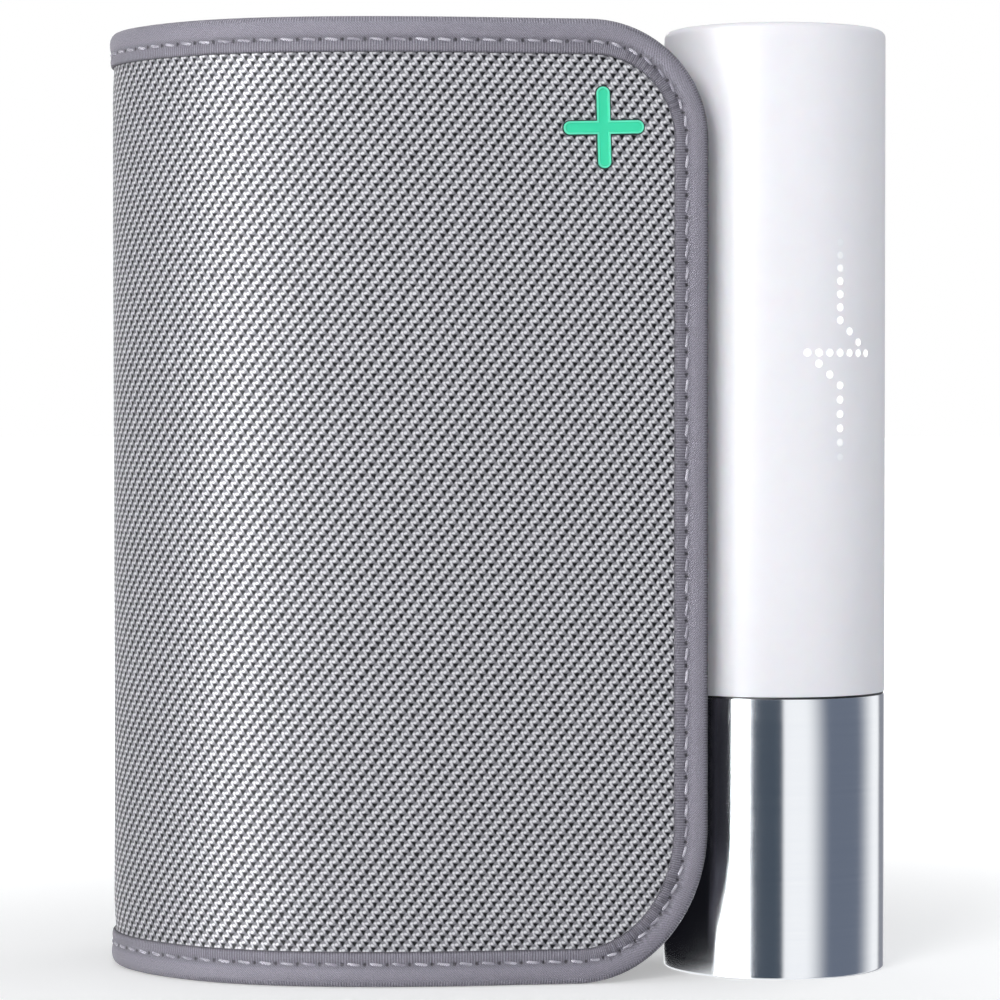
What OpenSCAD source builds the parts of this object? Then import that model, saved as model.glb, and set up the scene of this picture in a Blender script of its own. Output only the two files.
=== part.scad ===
// Arm-cuff health monitor that stands on end: a slim tube with a steel foot, a dot display and a
// push button in its top, and a padded cuff that is rolled up beside it with its flap closed.
// Millimetres. Origin: on the tube's axis, at the foot. +Z up, +X right, -Y to the front.

/* [Tube] */
// Outside diameter of the tube
tube_d = 36.6; // [36:0.2:38]
// Height of the tube and of the cuff beside it
unit_h = 155; // [153:1:165]
// Height of the steel sleeve at the foot
sleeve_h = 45.5; // [42:0.5:48]
// Wall of the steel sleeve
sleeve_wall = 0.9; // [0.7:0.1:1.2]
// Rounding of the steel sleeve's lower edge
sleeve_round = 0.8; // [0.4:0.1:1.2]
// Wall of the white shell
shell_wall = 1.8; // [1.6:0.1:2]
// Rounding of the white shell's upper rim
rim_round = 1.2; // [0.8:0.1:1.4]
// Height of the dark ring between steel and white
ring_h = 0.6; // [0.4:0.1:1]
// How far the dark ring lies back from the tube's surface
ring_set_back = 0.2; // [0.1:0.05:0.4]
// Length of the shell's spigot inside the steel sleeve
spigot_l = 8; // [5:0.5:12]

/* [Display] */
// Direction of the display, in degrees from the front towards the right
display_az = 31.5; // [28:0.5:35]
// Height of the dot row that crosses the trace
display_z = 101.6; // [98:0.2:104]
// Diameter of one dot
dot_d = 1.35; // [1:0.05:1.5]
// Angle between two dot columns
column_step = 6.2; // [6:0.1:7]
// Height between two dots above the crossing
upper_step = 2.11; // [2:0.01:2.2]
// Height between two dots where the trace runs slantwise
slant_step = 1.76; // [1.7:0.01:2]
// Height between two dots below the crossing
lower_step = 2.32; // [2:0.01:2.4]
// Thickness of the display's circuit board
led_board_t = 1; // [0.8:0.1:1.2]
// Edge of one light-emitting die
die_w = 0.6; // [0.4:0.1:0.6]
// Height of one light-emitting die
die_h = 0.35; // [0.2:0.05:0.4]

/* [Button and port] */
// Diameter of the push button
button_d = 14; // [12:0.5:15]
// How far the button travels
button_travel = 0.5; // [0.3:0.1:0.7]
// Depth of the cap's face below the shell's rim
cap_recess = 0.6; // [0.4:0.1:1]
// Thickness of the cap's plate
cap_t = 1.6; // [1.4:0.1:2]
// Height of the cap's skirt below its plate
skirt_h = 4.3; // [4:0.1:5]
// Wall of the cap's skirt
skirt_t = 2; // [1.8:0.1:2.2]
// Diameter of the cap's sealing ring
cap_seal_d = 1; // [0.8:0.1:1.2]
// Width of the charging port
port_w = 8.3; // [8:0.1:8.6]
// Height of the charging port's mouth, metal included
port_t = 2.9; // [2.7:0.1:3.1]
// Wall of the charging port's metal shell
port_wall = 0.3; // [0.2:0.05:0.4]
// Depth of the charging port's mouth
port_depth = 5.6; // [5:0.1:6]

/* [Inside the tube] */
// Diameter of the rechargeable cell, as a part of the tube's
cell_share = 0.503; // [0.49:0.001:0.51]
// Length of the rechargeable cell
cell_l = 65; // [60:1:66]
// Wall of the chassis behind the cell and the pump
core_wall = 0.9; // [0.7:0.1:1.2]
// Diameter of the air pump, as a part of the tube's
pump_share = 0.519; // [0.46:0.001:0.52]
// Length of the air pump
pump_l = 31; // [28:1:32]
// Height of the air manifold
manifold_h = 8; // [7:0.5:9]
// Diameter of the release valve
valve_d = 8; // [7:0.5:9]
// Length of the release valve
valve_l = 15; // [12:1:16]
// Edge of the pressure sensor
gauge_w = 7; // [6:0.5:8]
// Height of the pressure sensor
gauge_h = 5; // [4:0.5:7]
// Distance of the main circuit board's long edges from the shell
board_gap = 1.8; // [1.4:0.1:3]
// Height of the main circuit board
board_h = 92; // [86:1:92]
// Thickness of the main circuit board
board_t = 1.2; // [1:0.1:1.6]

/* [Saddle between tube and cuff] */
// Height of the saddle's lower end
saddle_low = 52; // [50:1:55]
// Distance of the saddle's upper end below the tube's upper end
saddle_drop = 8; // [6:0.5:10]
// Width of the saddle on the cuff, to the front of the axis
saddle_front = 6; // [5:0.2:6.4]
// Width of the saddle on the cuff, to the back of the axis
saddle_rear = 10; // [8:0.5:12]
// Diameter of the saddle screws
screw_d = 2; // [1.6:0.1:2.2]
// Distance of the outer saddle screws from the saddle's ends
screw_inset = 5.5; // [5:0.5:8]
// Outside diameter of the air nipple
nipple_d = 4; // [3.6:0.1:4.2]
// Bore of the air nipple
nipple_bore = 2; // [1.6:0.1:2.4]

/* [Cuff] */
// How far left of the tube's axis the flap's free end lies
flap_end_left = 11.8; // [11.4:0.1:12.4]
// How far in front of the tube's axis the flap's free end lies
flap_end_front = 20.65; // [20.6:0.05:21.4]
// Slant of the flap's free end towards the tube, in degrees
flap_slant = 8.5; // [8:0.1:9]
// Length of the flap's straight end
flap_straight = 37.1; // [35:0.1:40]
// Radius of the flap's slight bend
soft_r = 125; // [110:1:140]
// Radius of the flap's middle bend
middle_r = 70; // [60:1:80]
// Turn of the flap's middle bend, in degrees
middle_turn = 13; // [10:0.5:16]
// Radius of the left bend, front half
left_r = 38.4; // [36:0.2:42]
// Turn of the left bend before its tightest place, in degrees
left_turn = 47.5; // [46:0.5:50]
// Radius of the left bend at its tightest place
left_tight_r = 22; // [21:0.5:25]
// Radius of the left bend, back half
left_back_r = 42; // [42:0.5:45]
// Radius of the bend at the back on the tube's side
right_back_r = 20; // [18:0.5:22]
// Radius of the bend at the front on the tube's side
right_front_r = 12; // [11:0.5:13]
// How far left of the tube's axis the cuff's outside lies
cuff_side = 24.2; // [24:0.1:25]
// Length of the rolled tail along the back
tail_back = 20; // [18:0.5:23]
// Radius of the rounded upper corners at both ends of the strip
corner_top_r = 19.6; // [18:0.2:22]
// Radius of the rounded lower corners at both ends of the strip
corner_low_r = 23.2; // [20:0.2:24]

/* [Cuff layers] */
// Thickness of the woven outer fabric with its backing
fabric_t = 1.2; // [1:0.1:1.4]
// Thickness of the padding and of the bladder
padding_t = 2.2; // [2:0.1:2.4]
// Thickness of the skin-side liner
liner_t = 0.8; // [0.6:0.1:1]
// Thickness of the edge binding where it lies on the faces
binding_t = 0.4; // [0.3:0.05:0.5]
// Thickness of the edge binding round the strip's edge
binding_edge = 0.5; // [0.4:0.1:0.8]
// Width of the edge binding
binding_w = 5.8; // [5:0.1:7]
// Air between two layers of the roll
layer_gap = 0.5; // [0.5:0.05:0.8]
// Thickness of the hook pad
hook_t = 0.65; // [0.5:0.05:0.7]
// Thickness of the loop pad
loop_t = 0.35; // [0.25:0.05:0.4]
// Margin of the hook and loop pads above and below
pad_margin = 12; // [10:1:20]
// Margin of the air bladder above and below
bladder_margin = 9; // [8:1:14]

/* [Badge] */
// Span of the raised plus
plus_span = 13; // [11:0.5:15]
// Width of the plus's arms
plus_arm = 2.1; // [1.8:0.1:2.6]
// Height of the plus above the fabric
plus_t = 0.7; // [0.5:0.1:1]
// Distance of the plus from the flap's free end
plus_from_end = 17.4; // [15:0.2:20]
// Distance of the plus below the cuff's upper edge
plus_below_top = 17.5; // [15:0.5:22]

/* [Skin sensors] */
// Outside diameter of the sound sensor
sensor_d = 28; // [24:0.5:28]
// How far the sound sensor stands out of the liner
sensor_proud = 2.8; // [2.4:0.1:3]
// Thickness of the sound sensor's membrane
membrane_t = 0.4; // [0.3:0.1:0.6]
// Width of one skin electrode
electrode_w = 22; // [18:1:23]
// Height of one skin electrode
electrode_h = 28; // [24:1:30]
// Thickness of a skin electrode
electrode_t = 0.5; // [0.4:0.1:0.8]
// Distance of a skin electrode's middle from the sensor's middle
electrode_off = 45; // [40:1:50]

/* [Hidden] */
$fn = 96;

// Clearances
glue_gap = 0.1;   // between parts that are glued or slide into each other at assembly
drop_gap = 0.15;  // round a part that drops into its pocket
air_gap = 0.3;    // between parts that never touch
press_gap = 0.02; // round the dots in the shell
over = 1;         // how far a cutting shape runs past what it cuts

// Tube
tube_r = tube_d / 2;
shell_ir = tube_r - shell_wall;
sleeve_ir = tube_r - sleeve_wall;
shell_low = sleeve_h + ring_h;
spigot_r = sleeve_ir - glue_gap;
chassis_r = shell_ir - drop_gap;
chassis_low = sleeve_wall + glue_gap;
cap_top = unit_h - cap_recess;
cap_low = cap_top - cap_t;
skirt_low = cap_low - skirt_h;
skirt_ir = chassis_r - skirt_t;
collar_top = skirt_low - glue_gap;
collar_h = 3;
deck_top = collar_top - collar_h;
deck_t = 4;
deck_low = deck_top - deck_t;

// Display: [column, height above the crossing] of every lit dot of the heart trace
upper_dots = 6;
lower_dots = 5;
row_reach = 3;
dots = concat(
    [for (k = [0:upper_dots]) [0, 3 * slant_step + k * upper_step]],
    [[1, 2 * slant_step], [2, slant_step]],
    [for (c = [-row_reach:row_reach]) [c, 0]],
    [for (k = [1:3]) [k - 3, -k * slant_step]],
    [for (k = [1:lower_dots]) [0, -3 * slant_step - k * lower_step]]);
display_top = display_z + 3 * slant_step + upper_dots * upper_step;
display_low = display_z - 3 * slant_step - lower_dots * lower_step;
display_margin = 2.2;
led_face = 0.795 * shell_ir - 0.1;
well_r = dot_d / 2 - 0.08;
block_r = shell_ir - 2 * glue_gap;
block_half = led_face * tan(row_reach * column_step) + 1.1;

// Button and port
button_r = button_d / 2;
flange_r = button_r + 1;
flange_t = 1;
flange_top = cap_low - 0.2;
flange_low = flange_top - flange_t;
switch_board_t = 1;
switch_board_top = deck_top + switch_board_t;
switch_w = 6;
switch_h = 3;
switch_top = switch_board_top + switch_h;
plunger_r = 1.65;
plunger_seat = switch_top - 1.1;
plunger_low = plunger_seat + button_travel + 0.1;
boss_low = flange_low - 0.65;
plunger_top = boss_low - 0.05;
port_centre = flange_r + air_gap + port_t / 2 + 0.6;
port_low = switch_board_top;

// Inside the tube
cell_d = cell_share * tube_d;
pump_d = pump_share * tube_d;
core_r = max(cell_d, pump_d) / 2;
core_back = chassis_r - core_wall - drop_gap - core_r;
cell_low = chassis_low + 2;
cell_pocket_top = cell_low + cell_l + 1.6;
nub_r = 3.2;
nub_h = 1;
board_back = core_back - core_r - 1.2;
board_front = board_back - board_t;
board_w = 2 * (sqrt(pow(shell_ir, 2) - pow(board_front, 2)) - board_gap);
board_top = deck_low - 0.2;
board_low = board_top - board_h;
manifold_top = deck_low - valve_l - 1.2;
manifold_low = manifold_top - manifold_h;
manifold_half = chassis_r * 2 / 3;
manifold_back = core_back + 4.2;
manifold_front = board_back + 1.6;
pump_nozzle_r = 1.6;
pump_nozzle_h = 3;
pump_top = manifold_low - 0.2;
pump_low = pump_top - pump_l;
valve_x = -5.2;
gauge_x = 5;
air_y = core_back - 1.2;
nipple_z = manifold_low + manifold_h / 2;
nipple_r = nipple_d / 2;
nipple_in = 1.6;
spring_w = 3;
spring_t = 0.3;
spring_low = sleeve_h - spigot_l - 8;

// Cuff strip. Its path is the outside of the binding, walked from the flap's free end: to the
// left, round the left bend, along the back, down the tube's side and on under the flap as a tail.
strip_t = fabric_t + padding_t + liner_t + 2 * binding_t;
fabric_o = binding_t;
padding_o = fabric_o + fabric_t;
liner_o = padding_o + padding_t;
skin_o = liner_o + liner_t;
layer_step = strip_t + layer_gap;
cuff_side_x = -cuff_side;
hinge_gap = 0.3;
bend_angle = 4;   // degrees from one facet of a bend to the next
corner_steps = 8;

// A stretch is [radius, degrees] for a bend to the right or [0, length] for a straight.
// A place on the path is [x, y, heading], and its right side is the strip's inside.
function go(p, stretch, part) =
    stretch[0] == 0
    ? [p[0] + part * cos(p[2]), p[1] + part * sin(p[2]), p[2]]
    : let (turned = p[2] - part)
      [p[0] + stretch[0] * (sin(p[2]) - sin(turned)),
       p[1] + stretch[0] * (cos(turned) - cos(p[2])), turned];
function place(start, path, i) =
    i == 0 ? start : go(place(start, path, i - 1), path[i - 1], path[i - 1][1]);
function steps(stretch) = stretch[0] == 0 ? 1 : ceil(stretch[1] / bend_angle);
function walk(start, path, from, to) = concat(
    [place(start, path, from)],
    [for (i = [from:to], k = [1:steps(path[i])])
        go(place(start, path, i), path[i], path[i][1] * k / steps(path[i]))]);
function aside(p, o) = [p[0] + o * sin(p[2]), p[1] - o * cos(p[2])];
function band(line, o0, o1) = concat(
    [for (p = line) aside(p, o0)],
    [for (i = [len(line) - 1:-1:0]) aside(line[i], o1)]);

flap_start = [-flap_end_left, -flap_end_front, 180 + flap_slant];
flap_path = [
    [0, flap_straight], [soft_r, flap_slant], [middle_r, middle_turn],
    [left_r, left_turn], [left_tight_r, 90 - middle_turn - left_turn]];
hinge = place(flap_start, flap_path, len(flap_path));
hinge_skip = hinge_gap / left_back_r * 180 / PI;
cuff_start = go(hinge, [left_back_r, 90], hinge_skip);
back_y = hinge[1] + left_back_r;
back_len = cuff_side_x - right_back_r - (hinge[0] + left_back_r);
// The tail's straight lies one layer inside the flap's, and a bend joins it to the tube's side.
tail_r = layer_step + right_front_r;
tail_skip = (cuff_side_x - right_front_r - aside(flap_start, tail_r)[0]) / cos(flap_start[2]);
side_low_y = aside(go(flap_start, [0, 0], tail_skip), tail_r)[1];
side_len = back_y - right_back_r - side_low_y;
cuff_path = [
    [left_back_r, 90 - hinge_skip], [0, back_len], [right_back_r, 90], [0, side_len],
    [right_front_r, 90 - flap_slant], [0, flap_straight - tail_skip],
    [soft_r - layer_step, flap_slant], [middle_r - layer_step, middle_turn],
    [left_r - layer_step, left_turn], [left_tight_r - layer_step, 90 - middle_turn - left_turn],
    [left_back_r - layer_step, 90], [0, tail_back]];
FLAP_END = len(flap_path) - 1;
BACK = 1;
TAIL_STRAIGHT = 5;
TAIL_MIDDLE = 7;
TAIL_LEFT = 9;
TAIL_END = len(cuff_path) - 1;
cuff_end = place(cuff_start, cuff_path, len(cuff_path));

sensor_y = side_low_y + side_len / 2;
sensor_z = unit_h / 2;
sensor_r = sensor_d / 2;
sensor_step = 0.6;
housing_top = cuff_side_x - skin_o - sensor_proud + membrane_t + sensor_step;

// Saddle
saddle_h = unit_h - saddle_drop - saddle_low;
saddle_x = cuff_side_x - binding_t + 0.05;
saddle_lip = 1.4;
saddle_taper = 2;
screw_reach = 3.2;
screw_sink = 0.2;

// ---------------------------------------------------------------- tools
module ring_arc(r, wide, low, high) {
    translate([0, 0, low]) difference() {
        cylinder(r = r, h = high - low);
        translate([0, 0, -over]) cylinder(r = r - wide, h = high - low + 2 * over);
    }
}

module block(x0, x1, y0, y1, z0, z1) {
    translate([x0, y0, z0]) cube([x1 - x0, y1 - y0, z1 - z0]);
}

// A rod along X from x0 to x1.
module rod_x(r, x0, x1, y, z) {
    translate([x0, y, z]) rotate([0, 90, 0]) cylinder(r = r, h = x1 - x0, $fn = 48);
}

// A rod that points out from the axis, at display column c.
module rod_out(r, r0, r1, c, z) {
    rotate([0, 0, c * column_step])
        translate([0, -r0, z]) rotate([90, 0, 0]) cylinder(r = r, h = r1 - r0, $fn = 24);
}

module at_display() {
    rotate([0, 0, display_az]) children();
}

// What a rounded corner takes off the strip's end, as seen on its face.
module corner_waste(r, inset) {
    polygon(concat(
        [[-over, -over], [r, -over]],
        [for (k = [0:corner_steps])
            let (a = 270 - 90 * k / corner_steps)
            [r + (r - inset) * cos(a), r + (r - inset) * sin(a)]],
        [[-over, r]]));
}

// Both corners' waste, at an end of the strip whose inward direction is a. The strip's inside
// lies to the right of that direction at the flap, and to its left at the tail.
module end_waste(p, a, side, inset) {
    slack = layer_gap / 2;
    translate([p[0], p[1], 0]) rotate([0, 0, a])
        translate([0, side > 0 ? strip_t + slack : slack, 0]) rotate([90, 0, 0])
            linear_extrude(strip_t + 2 * slack) {
                corner_waste(corner_low_r, inset);
                translate([0, unit_h]) mirror([0, 1]) corner_waste(corner_top_r, inset);
            }
}

// One layer of the flap, from o0 to o1 below the binding's face, set in from the bound edges.
module flap_layer(o0, o1, inset, past = 0) {
    line = walk(go(flap_start, [0, 0], inset),
        concat([[0, flap_straight - inset]], [for (i = [1:FLAP_END]) flap_path[i]], [[0, past]]),
        0, past > 0 ? FLAP_END + 1 : FLAP_END);
    difference() {
        translate([0, 0, inset]) linear_extrude(unit_h - 2 * inset) polygon(band(line, o0, o1));
        end_waste(flap_start, flap_start[2], -1, inset);
    }
}

// One layer of the rolled part of the cuff, from the hinge to the tail's end.
module cuff_layer(o0, o1, inset, past = 0) {
    path = concat([[0, past]], [for (i = [0:TAIL_END - 1]) cuff_path[i]], [[0, tail_back - inset]]);
    line = walk(go(cuff_start, [0, 0], -past), path, past > 0 ? 0 : 1, len(path) - 1);
    difference() {
        translate([0, 0, inset]) linear_extrude(unit_h - 2 * inset) polygon(band(line, o0, o1));
        end_waste(cuff_end, cuff_end[2] + 180, 1, inset);
    }
}

// A patch on a run of stretches, between two heights.
module patch(start, path, from, to, o0, o1, z0, z1) {
    translate([0, 0, z0]) linear_extrude(z1 - z0)
        polygon(band(walk(start, path, from, to), o0, o1));
}

module screw_places() {
    for (z = [screw_inset, saddle_h / 2, saddle_h - screw_inset])
        translate([0, 0, saddle_low + z]) children();
}

// ---------------------------------------------------------------- tube
module shell_profile() {
    polygon(concat(
        [[shell_ir, sleeve_h - spigot_l], [spigot_r, sleeve_h - spigot_l],
         [spigot_r, shell_low], [tube_r, shell_low]],
        [for (k = [0:corner_steps])
            let (a = 90 * k / corner_steps)
            [tube_r - rim_round + rim_round * cos(a), unit_h - rim_round + rim_round * sin(a)]],
        [[shell_ir, unit_h]]));
}

module tube_shell() {
    color([0.93, 0.93, 0.95]) difference() {
        rotate_extrude() shell_profile();
        at_display() for (d = dots)
            rod_out(dot_d / 2 + press_gap, shell_ir - over, tube_r + over, d[0], display_z + d[1]);
        rod_x(nipple_r + air_gap, -tube_r - over, -shell_ir + over, 0, nipple_z);
        screw_places() rod_x(screw_d / 2 + glue_gap, -tube_r - over, -shell_ir + over, 0, 0);
    }
}

module sleeve_profile() {
    polygon(concat(
        [[0, 0]],
        [for (k = [0:corner_steps])
            let (a = 270 + 90 * k / corner_steps)
            [tube_r - sleeve_round + sleeve_round * cos(a),
             sleeve_round + sleeve_round * sin(a)]],
        [[tube_r, sleeve_h], [sleeve_ir, sleeve_h], [sleeve_ir, sleeve_wall], [0, sleeve_wall]]));
}

module steel_sleeve() {
    color([0.72, 0.74, 0.77]) rotate_extrude() sleeve_profile();
}

module insulator_ring() {
    outer = tube_r - ring_set_back;
    color([0.12, 0.12, 0.14]) ring_arc(outer, outer - spigot_r - 0.05, sleeve_h, shell_low);
}

module port_outline(w, t) {
    r = t / 2;
    translate([r - w / 2, 0]) circle(r = r, $fn = 32);
    translate([w / 2 - r, 0]) circle(r = r, $fn = 32);
    square([w - 2 * r, t], center = true);
}

module top_cap() {
    groove_low = skirt_low + 1.2;
    color([0.9, 0.9, 0.93]) difference() {
        union() {
            translate([0, 0, cap_low]) cylinder(r = chassis_r, h = cap_t);
            ring_arc(chassis_r, skirt_t, skirt_low, cap_low + 0.2);
        }
        translate([0, 0, cap_low - over]) cylinder(r = button_r + drop_gap, h = cap_t + 2 * over);
        translate([0, port_centre, cap_low - over])
            linear_extrude(cap_t + 2 * over) port_outline(port_w + 0.2, port_t + 0.2);
        translate([0, 0, groove_low]) difference() {
            cylinder(r = chassis_r + over, h = cap_seal_d + 0.2);
            translate([0, 0, -over]) cylinder(r = shell_ir - cap_seal_d - 0.1, h = 4 * over);
        }
    }
}

module cap_seal() {
    r = cap_seal_d / 2;
    color([0.15, 0.15, 0.16]) translate([0, 0, skirt_low + 1.2 + 0.1 + r])
        rotate_extrude() translate([shell_ir - 0.05 - r, 0]) circle(r = r, $fn = 24);
}

module charge_port() {
    color([0.75, 0.76, 0.78]) difference() {
        translate([0, port_centre, port_low])
            linear_extrude(cap_top - port_low) port_outline(port_w, port_t);
        translate([0, port_centre, cap_top - port_depth]) linear_extrude(port_depth + over)
            port_outline(port_w - 2 * port_wall, port_t - 2 * port_wall);
    }
}

module port_tongue() {
    color([0.1, 0.1, 0.11])
        block(-(port_w - 2.3) / 2, (port_w - 2.3) / 2, port_centre - 0.35, port_centre + 0.35,
            cap_top - port_depth, cap_top - 1);
}

// ---------------------------------------------------------------- inside the tube
// The trough that a round part drops into from the front.
module trough(r, low, high) {
    translate([0, core_back, low]) cylinder(r = r, h = high - low);
    block(-r, r, -tube_r, core_back, low, high);
}

module chassis() {
    color([0.25, 0.26, 0.28]) difference() {
        union() {
            translate([0, 0, chassis_low]) cylinder(r = chassis_r, h = deck_top - chassis_low);
            ring_arc(chassis_r, skirt_t, deck_top - 0.2, collar_top);
        }
        block(-tube_r, tube_r, -tube_r, board_back, cell_low, deck_low);
        trough(cell_d / 2 + drop_gap, cell_low, cell_pocket_top);
        trough(pump_d / 2 + drop_gap, pump_low - drop_gap, manifold_low);
        block(-manifold_half - drop_gap, manifold_half + drop_gap, -tube_r,
            manifold_back + drop_gap, manifold_low - glue_gap, deck_low);
        rod_x(nipple_r + air_gap, -chassis_r - over, -manifold_half, 0, nipple_z);
        screw_places()
            rod_x(screw_d / 2 + glue_gap, -chassis_r - over, screw_reach + 0.2 - chassis_r, 0, 0);
    }
}

module main_board() {
    color([0.1, 0.35, 0.2])
        block(-board_w / 2, board_w / 2, board_front, board_back, board_low, board_top);
}

// Chips on the front of the main board: [left edge, height above the board's lower edge, width,
// length, thickness].
chips = [[-11, 39, 7, 7, 1], [-10, 17, 5, 5, 0.9], [-2, 11, 8, 6, 1], [-10, 71, 6, 8, 1.1]];

module board_chips() {
    color([0.08, 0.08, 0.09]) for (c = chips)
        block(c[0], c[0] + c[2], board_front - c[4], board_front,
            board_low + c[1], board_low + c[1] + c[3]);
}

module led_board() {
    color([0.1, 0.35, 0.2]) at_display()
        block(-block_half, block_half, -led_face, -led_face + led_board_t,
            display_low - display_margin, display_top + display_margin);
}

module led_dies() {
    color([1, 0.95, 0.8]) at_display() for (d = dots)
        let (x = (led_face + die_h / 2) * tan(d[0] * column_step), z = display_z + d[1])
            block(x - die_w / 2, x + die_w / 2, -led_face - die_h, -led_face,
                z - die_w / 2, z + die_w / 2);
}

module light_block() {
    low = display_low - display_margin;
    high = display_top + display_margin;
    color([0.1, 0.1, 0.11]) at_display() difference() {
        intersection() {
            translate([0, 0, low]) cylinder(r = block_r, h = high - low);
            block(-block_half, block_half, -tube_r, -led_face, low - over, high + over);
        }
        for (d = dots) rod_out(well_r, led_face - 2, tube_r, d[0], display_z + d[1]);
    }
}

module light_dots() {
    color([1, 0.98, 0.88]) at_display() intersection() {
        cylinder(r = tube_r, h = unit_h);
        for (d = dots)
            rod_out(dot_d / 2, block_r + glue_gap, tube_r + over, d[0], display_z + d[1]);
    }
}

module display_ribbon() {
    half = 4;
    t = 0.3;
    start = 4.2;
    back = led_face - led_board_t - 0.04;
    function on_board(w) = [back * sin(display_az) + w * cos(display_az),
        w * sin(display_az) - back * cos(display_az)];
    color([0.75, 0.5, 0.2]) translate([0, 0, display_z - half]) linear_extrude(2 * half)
        polygon([[start, board_front], [start + t, board_front], on_board(-0.55), on_board(-0.9)]);
}

module battery_cell() {
    color([0.2, 0.45, 0.7]) translate([0, core_back, cell_low + 0.1]) {
        cylinder(r = cell_d / 2, h = cell_l);
        translate([0, 0, cell_l]) cylinder(r = nub_r, h = nub_h, $fn = 32);
    }
}

module electrode_spring() {
    y = board_front;
    reach = -sqrt(pow(sleeve_ir, 2) - pow(spring_w / 2, 2)) + glue_gap;
    foot = 2.4;
    top = board_low + 5;
    color([0.8, 0.65, 0.3]) translate([spring_w / 2, 0, 0]) rotate([90, 0, -90])
        linear_extrude(spring_w) polygon([
            [-y, top], [-y + spring_t, top], [-y + spring_t, spring_low + spring_t],
            [-reach - spring_t, spring_low + spring_t], [-reach - spring_t, spring_low + foot],
            [-reach, spring_low + foot], [-reach, spring_low], [-y, spring_low]]);
}

module air_pump() {
    r = pump_d / 2;
    head = 12;
    color([0.7, 0.71, 0.73]) translate([0, core_back, pump_low]) {
        cylinder(r = r, h = pump_l - head);
        translate([0, 0, pump_l - head]) cylinder(r = r - 0.6, h = head - 1.6);
        translate([0, 0, pump_l - 1.6]) cylinder(r = r, h = 1.6);
    }
    color([0.7, 0.71, 0.73]) translate([0, air_y, pump_top - 0.2])
        cylinder(r = pump_nozzle_r, h = pump_nozzle_h + 0.2, $fn = 32);
}

module air_manifold() {
    socket_depth = 3.4;
    duct_r = 0.9;
    color([0.85, 0.85, 0.87]) difference() {
        block(-manifold_half, manifold_half, manifold_front, manifold_back,
            manifold_low, manifold_top);
        translate([0, air_y, manifold_low - over])
            cylinder(r = pump_nozzle_r + glue_gap, h = pump_nozzle_h + over + 0.2, $fn = 32);
        translate([0, air_y, manifold_low])
            cylinder(r = duct_r + 0.2, h = manifold_h / 2 + over, $fn = 24);
        rod_x(nipple_r + glue_gap, -manifold_half - over, -manifold_half + socket_depth, 0, nipple_z);
        rod_x(duct_r, -manifold_half, over, 0, nipple_z);
        translate([0, 0, nipple_z]) rotate([-90, 0, 0])
            cylinder(r = duct_r - 0.2, h = air_y, $fn = 24);
    }
}

module release_valve() {
    color([0.6, 0.61, 0.63]) translate([valve_x, air_y, manifold_top])
        cylinder(r = valve_d / 2, h = valve_l, $fn = 48);
}

module pressure_sensor() {
    color([0.9, 0.9, 0.88]) translate([gauge_x, air_y, manifold_top]) {
        translate([-gauge_w / 2, -gauge_w / 2, 0]) cube([gauge_w, gauge_w, gauge_h * 0.6]);
        cylinder(r = gauge_w * 0.32, h = gauge_h, $fn = 32);
    }
}

module air_nipple() {
    tip = cuff_side_x - padding_o - nipple_in;
    inner = -manifold_half + 3;
    color([0.3, 0.3, 0.32]) difference() {
        rod_x(nipple_r, tip, inner, 0, nipple_z);
        rod_x(nipple_bore / 2, tip - over, inner + over, 0, nipple_z);
    }
}

module nipple_seal() {
    color([0.15, 0.15, 0.16]) translate([-tube_r - 1.2, 0, nipple_z]) rotate([0, 90, 0])
        rotate_extrude($fn = 48) translate([nipple_r + 0.05 + 0.6, 0]) circle(r = 0.6, $fn = 24);
}

module button_board() {
    color([0.1, 0.35, 0.2]) translate([0, 0, deck_top])
        cylinder(r = skirt_ir - drop_gap, h = switch_board_t);
}

module button_switch() {
    color([0.12, 0.12, 0.13]) difference() {
        block(-switch_w / 2, switch_w / 2, -switch_w / 2, switch_w / 2,
            switch_board_top, switch_top);
        translate([0, 0, plunger_seat]) cylinder(r = plunger_r + glue_gap, h = 2, $fn = 32);
    }
}

module switch_plunger() {
    color([0.7, 0.7, 0.7]) translate([0, 0, plunger_low])
        cylinder(r = plunger_r, h = plunger_top - plunger_low, $fn = 32);
}

module power_button() {
    edge = 0.4;
    color([0.88, 0.88, 0.9]) {
        rotate_extrude() polygon([
            [0, flange_low], [flange_r, flange_low], [flange_r, flange_top],
            [button_r, flange_top], [button_r, unit_h - edge], [button_r - edge, unit_h],
            [button_r - 2.2, unit_h], [0, unit_h - 0.5]]);
        translate([0, 0, boss_low]) cylinder(r = 2.5, h = flange_low - boss_low + 0.1, $fn = 48);
    }
}

// ---------------------------------------------------------------- saddle
module tube_saddle() {
    neck_x = 3 - tube_r;
    seal_seat = 1.9;
    color([0.3, 0.3, 0.33]) difference() {
        translate([0, 0, saddle_low]) linear_extrude(saddle_h) difference() {
            polygon([[saddle_x, -saddle_front], [saddle_x, saddle_rear],
                [saddle_x + saddle_lip, saddle_rear], [neck_x, saddle_rear - saddle_taper],
                [neck_x, saddle_taper - saddle_front], [saddle_x + saddle_lip, -saddle_front]]);
            circle(r = tube_r + 0.05, $fn = 180);
        }
        rod_x(nipple_r + air_gap, saddle_x - over, -tube_r + over, 0, nipple_z);
        rod_x(nipple_r + saddle_lip, -tube_r - seal_seat, -tube_r + over, 0, nipple_z);
        screw_places() {
            rod_x(screw_d / 2 + glue_gap, saddle_x - over, -tube_r + over, 0, 0);
            rod_x(screw_d + glue_gap, saddle_x - over, saddle_x + saddle_lip + 0.3, 0, 0);
        }
    }
}

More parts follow.
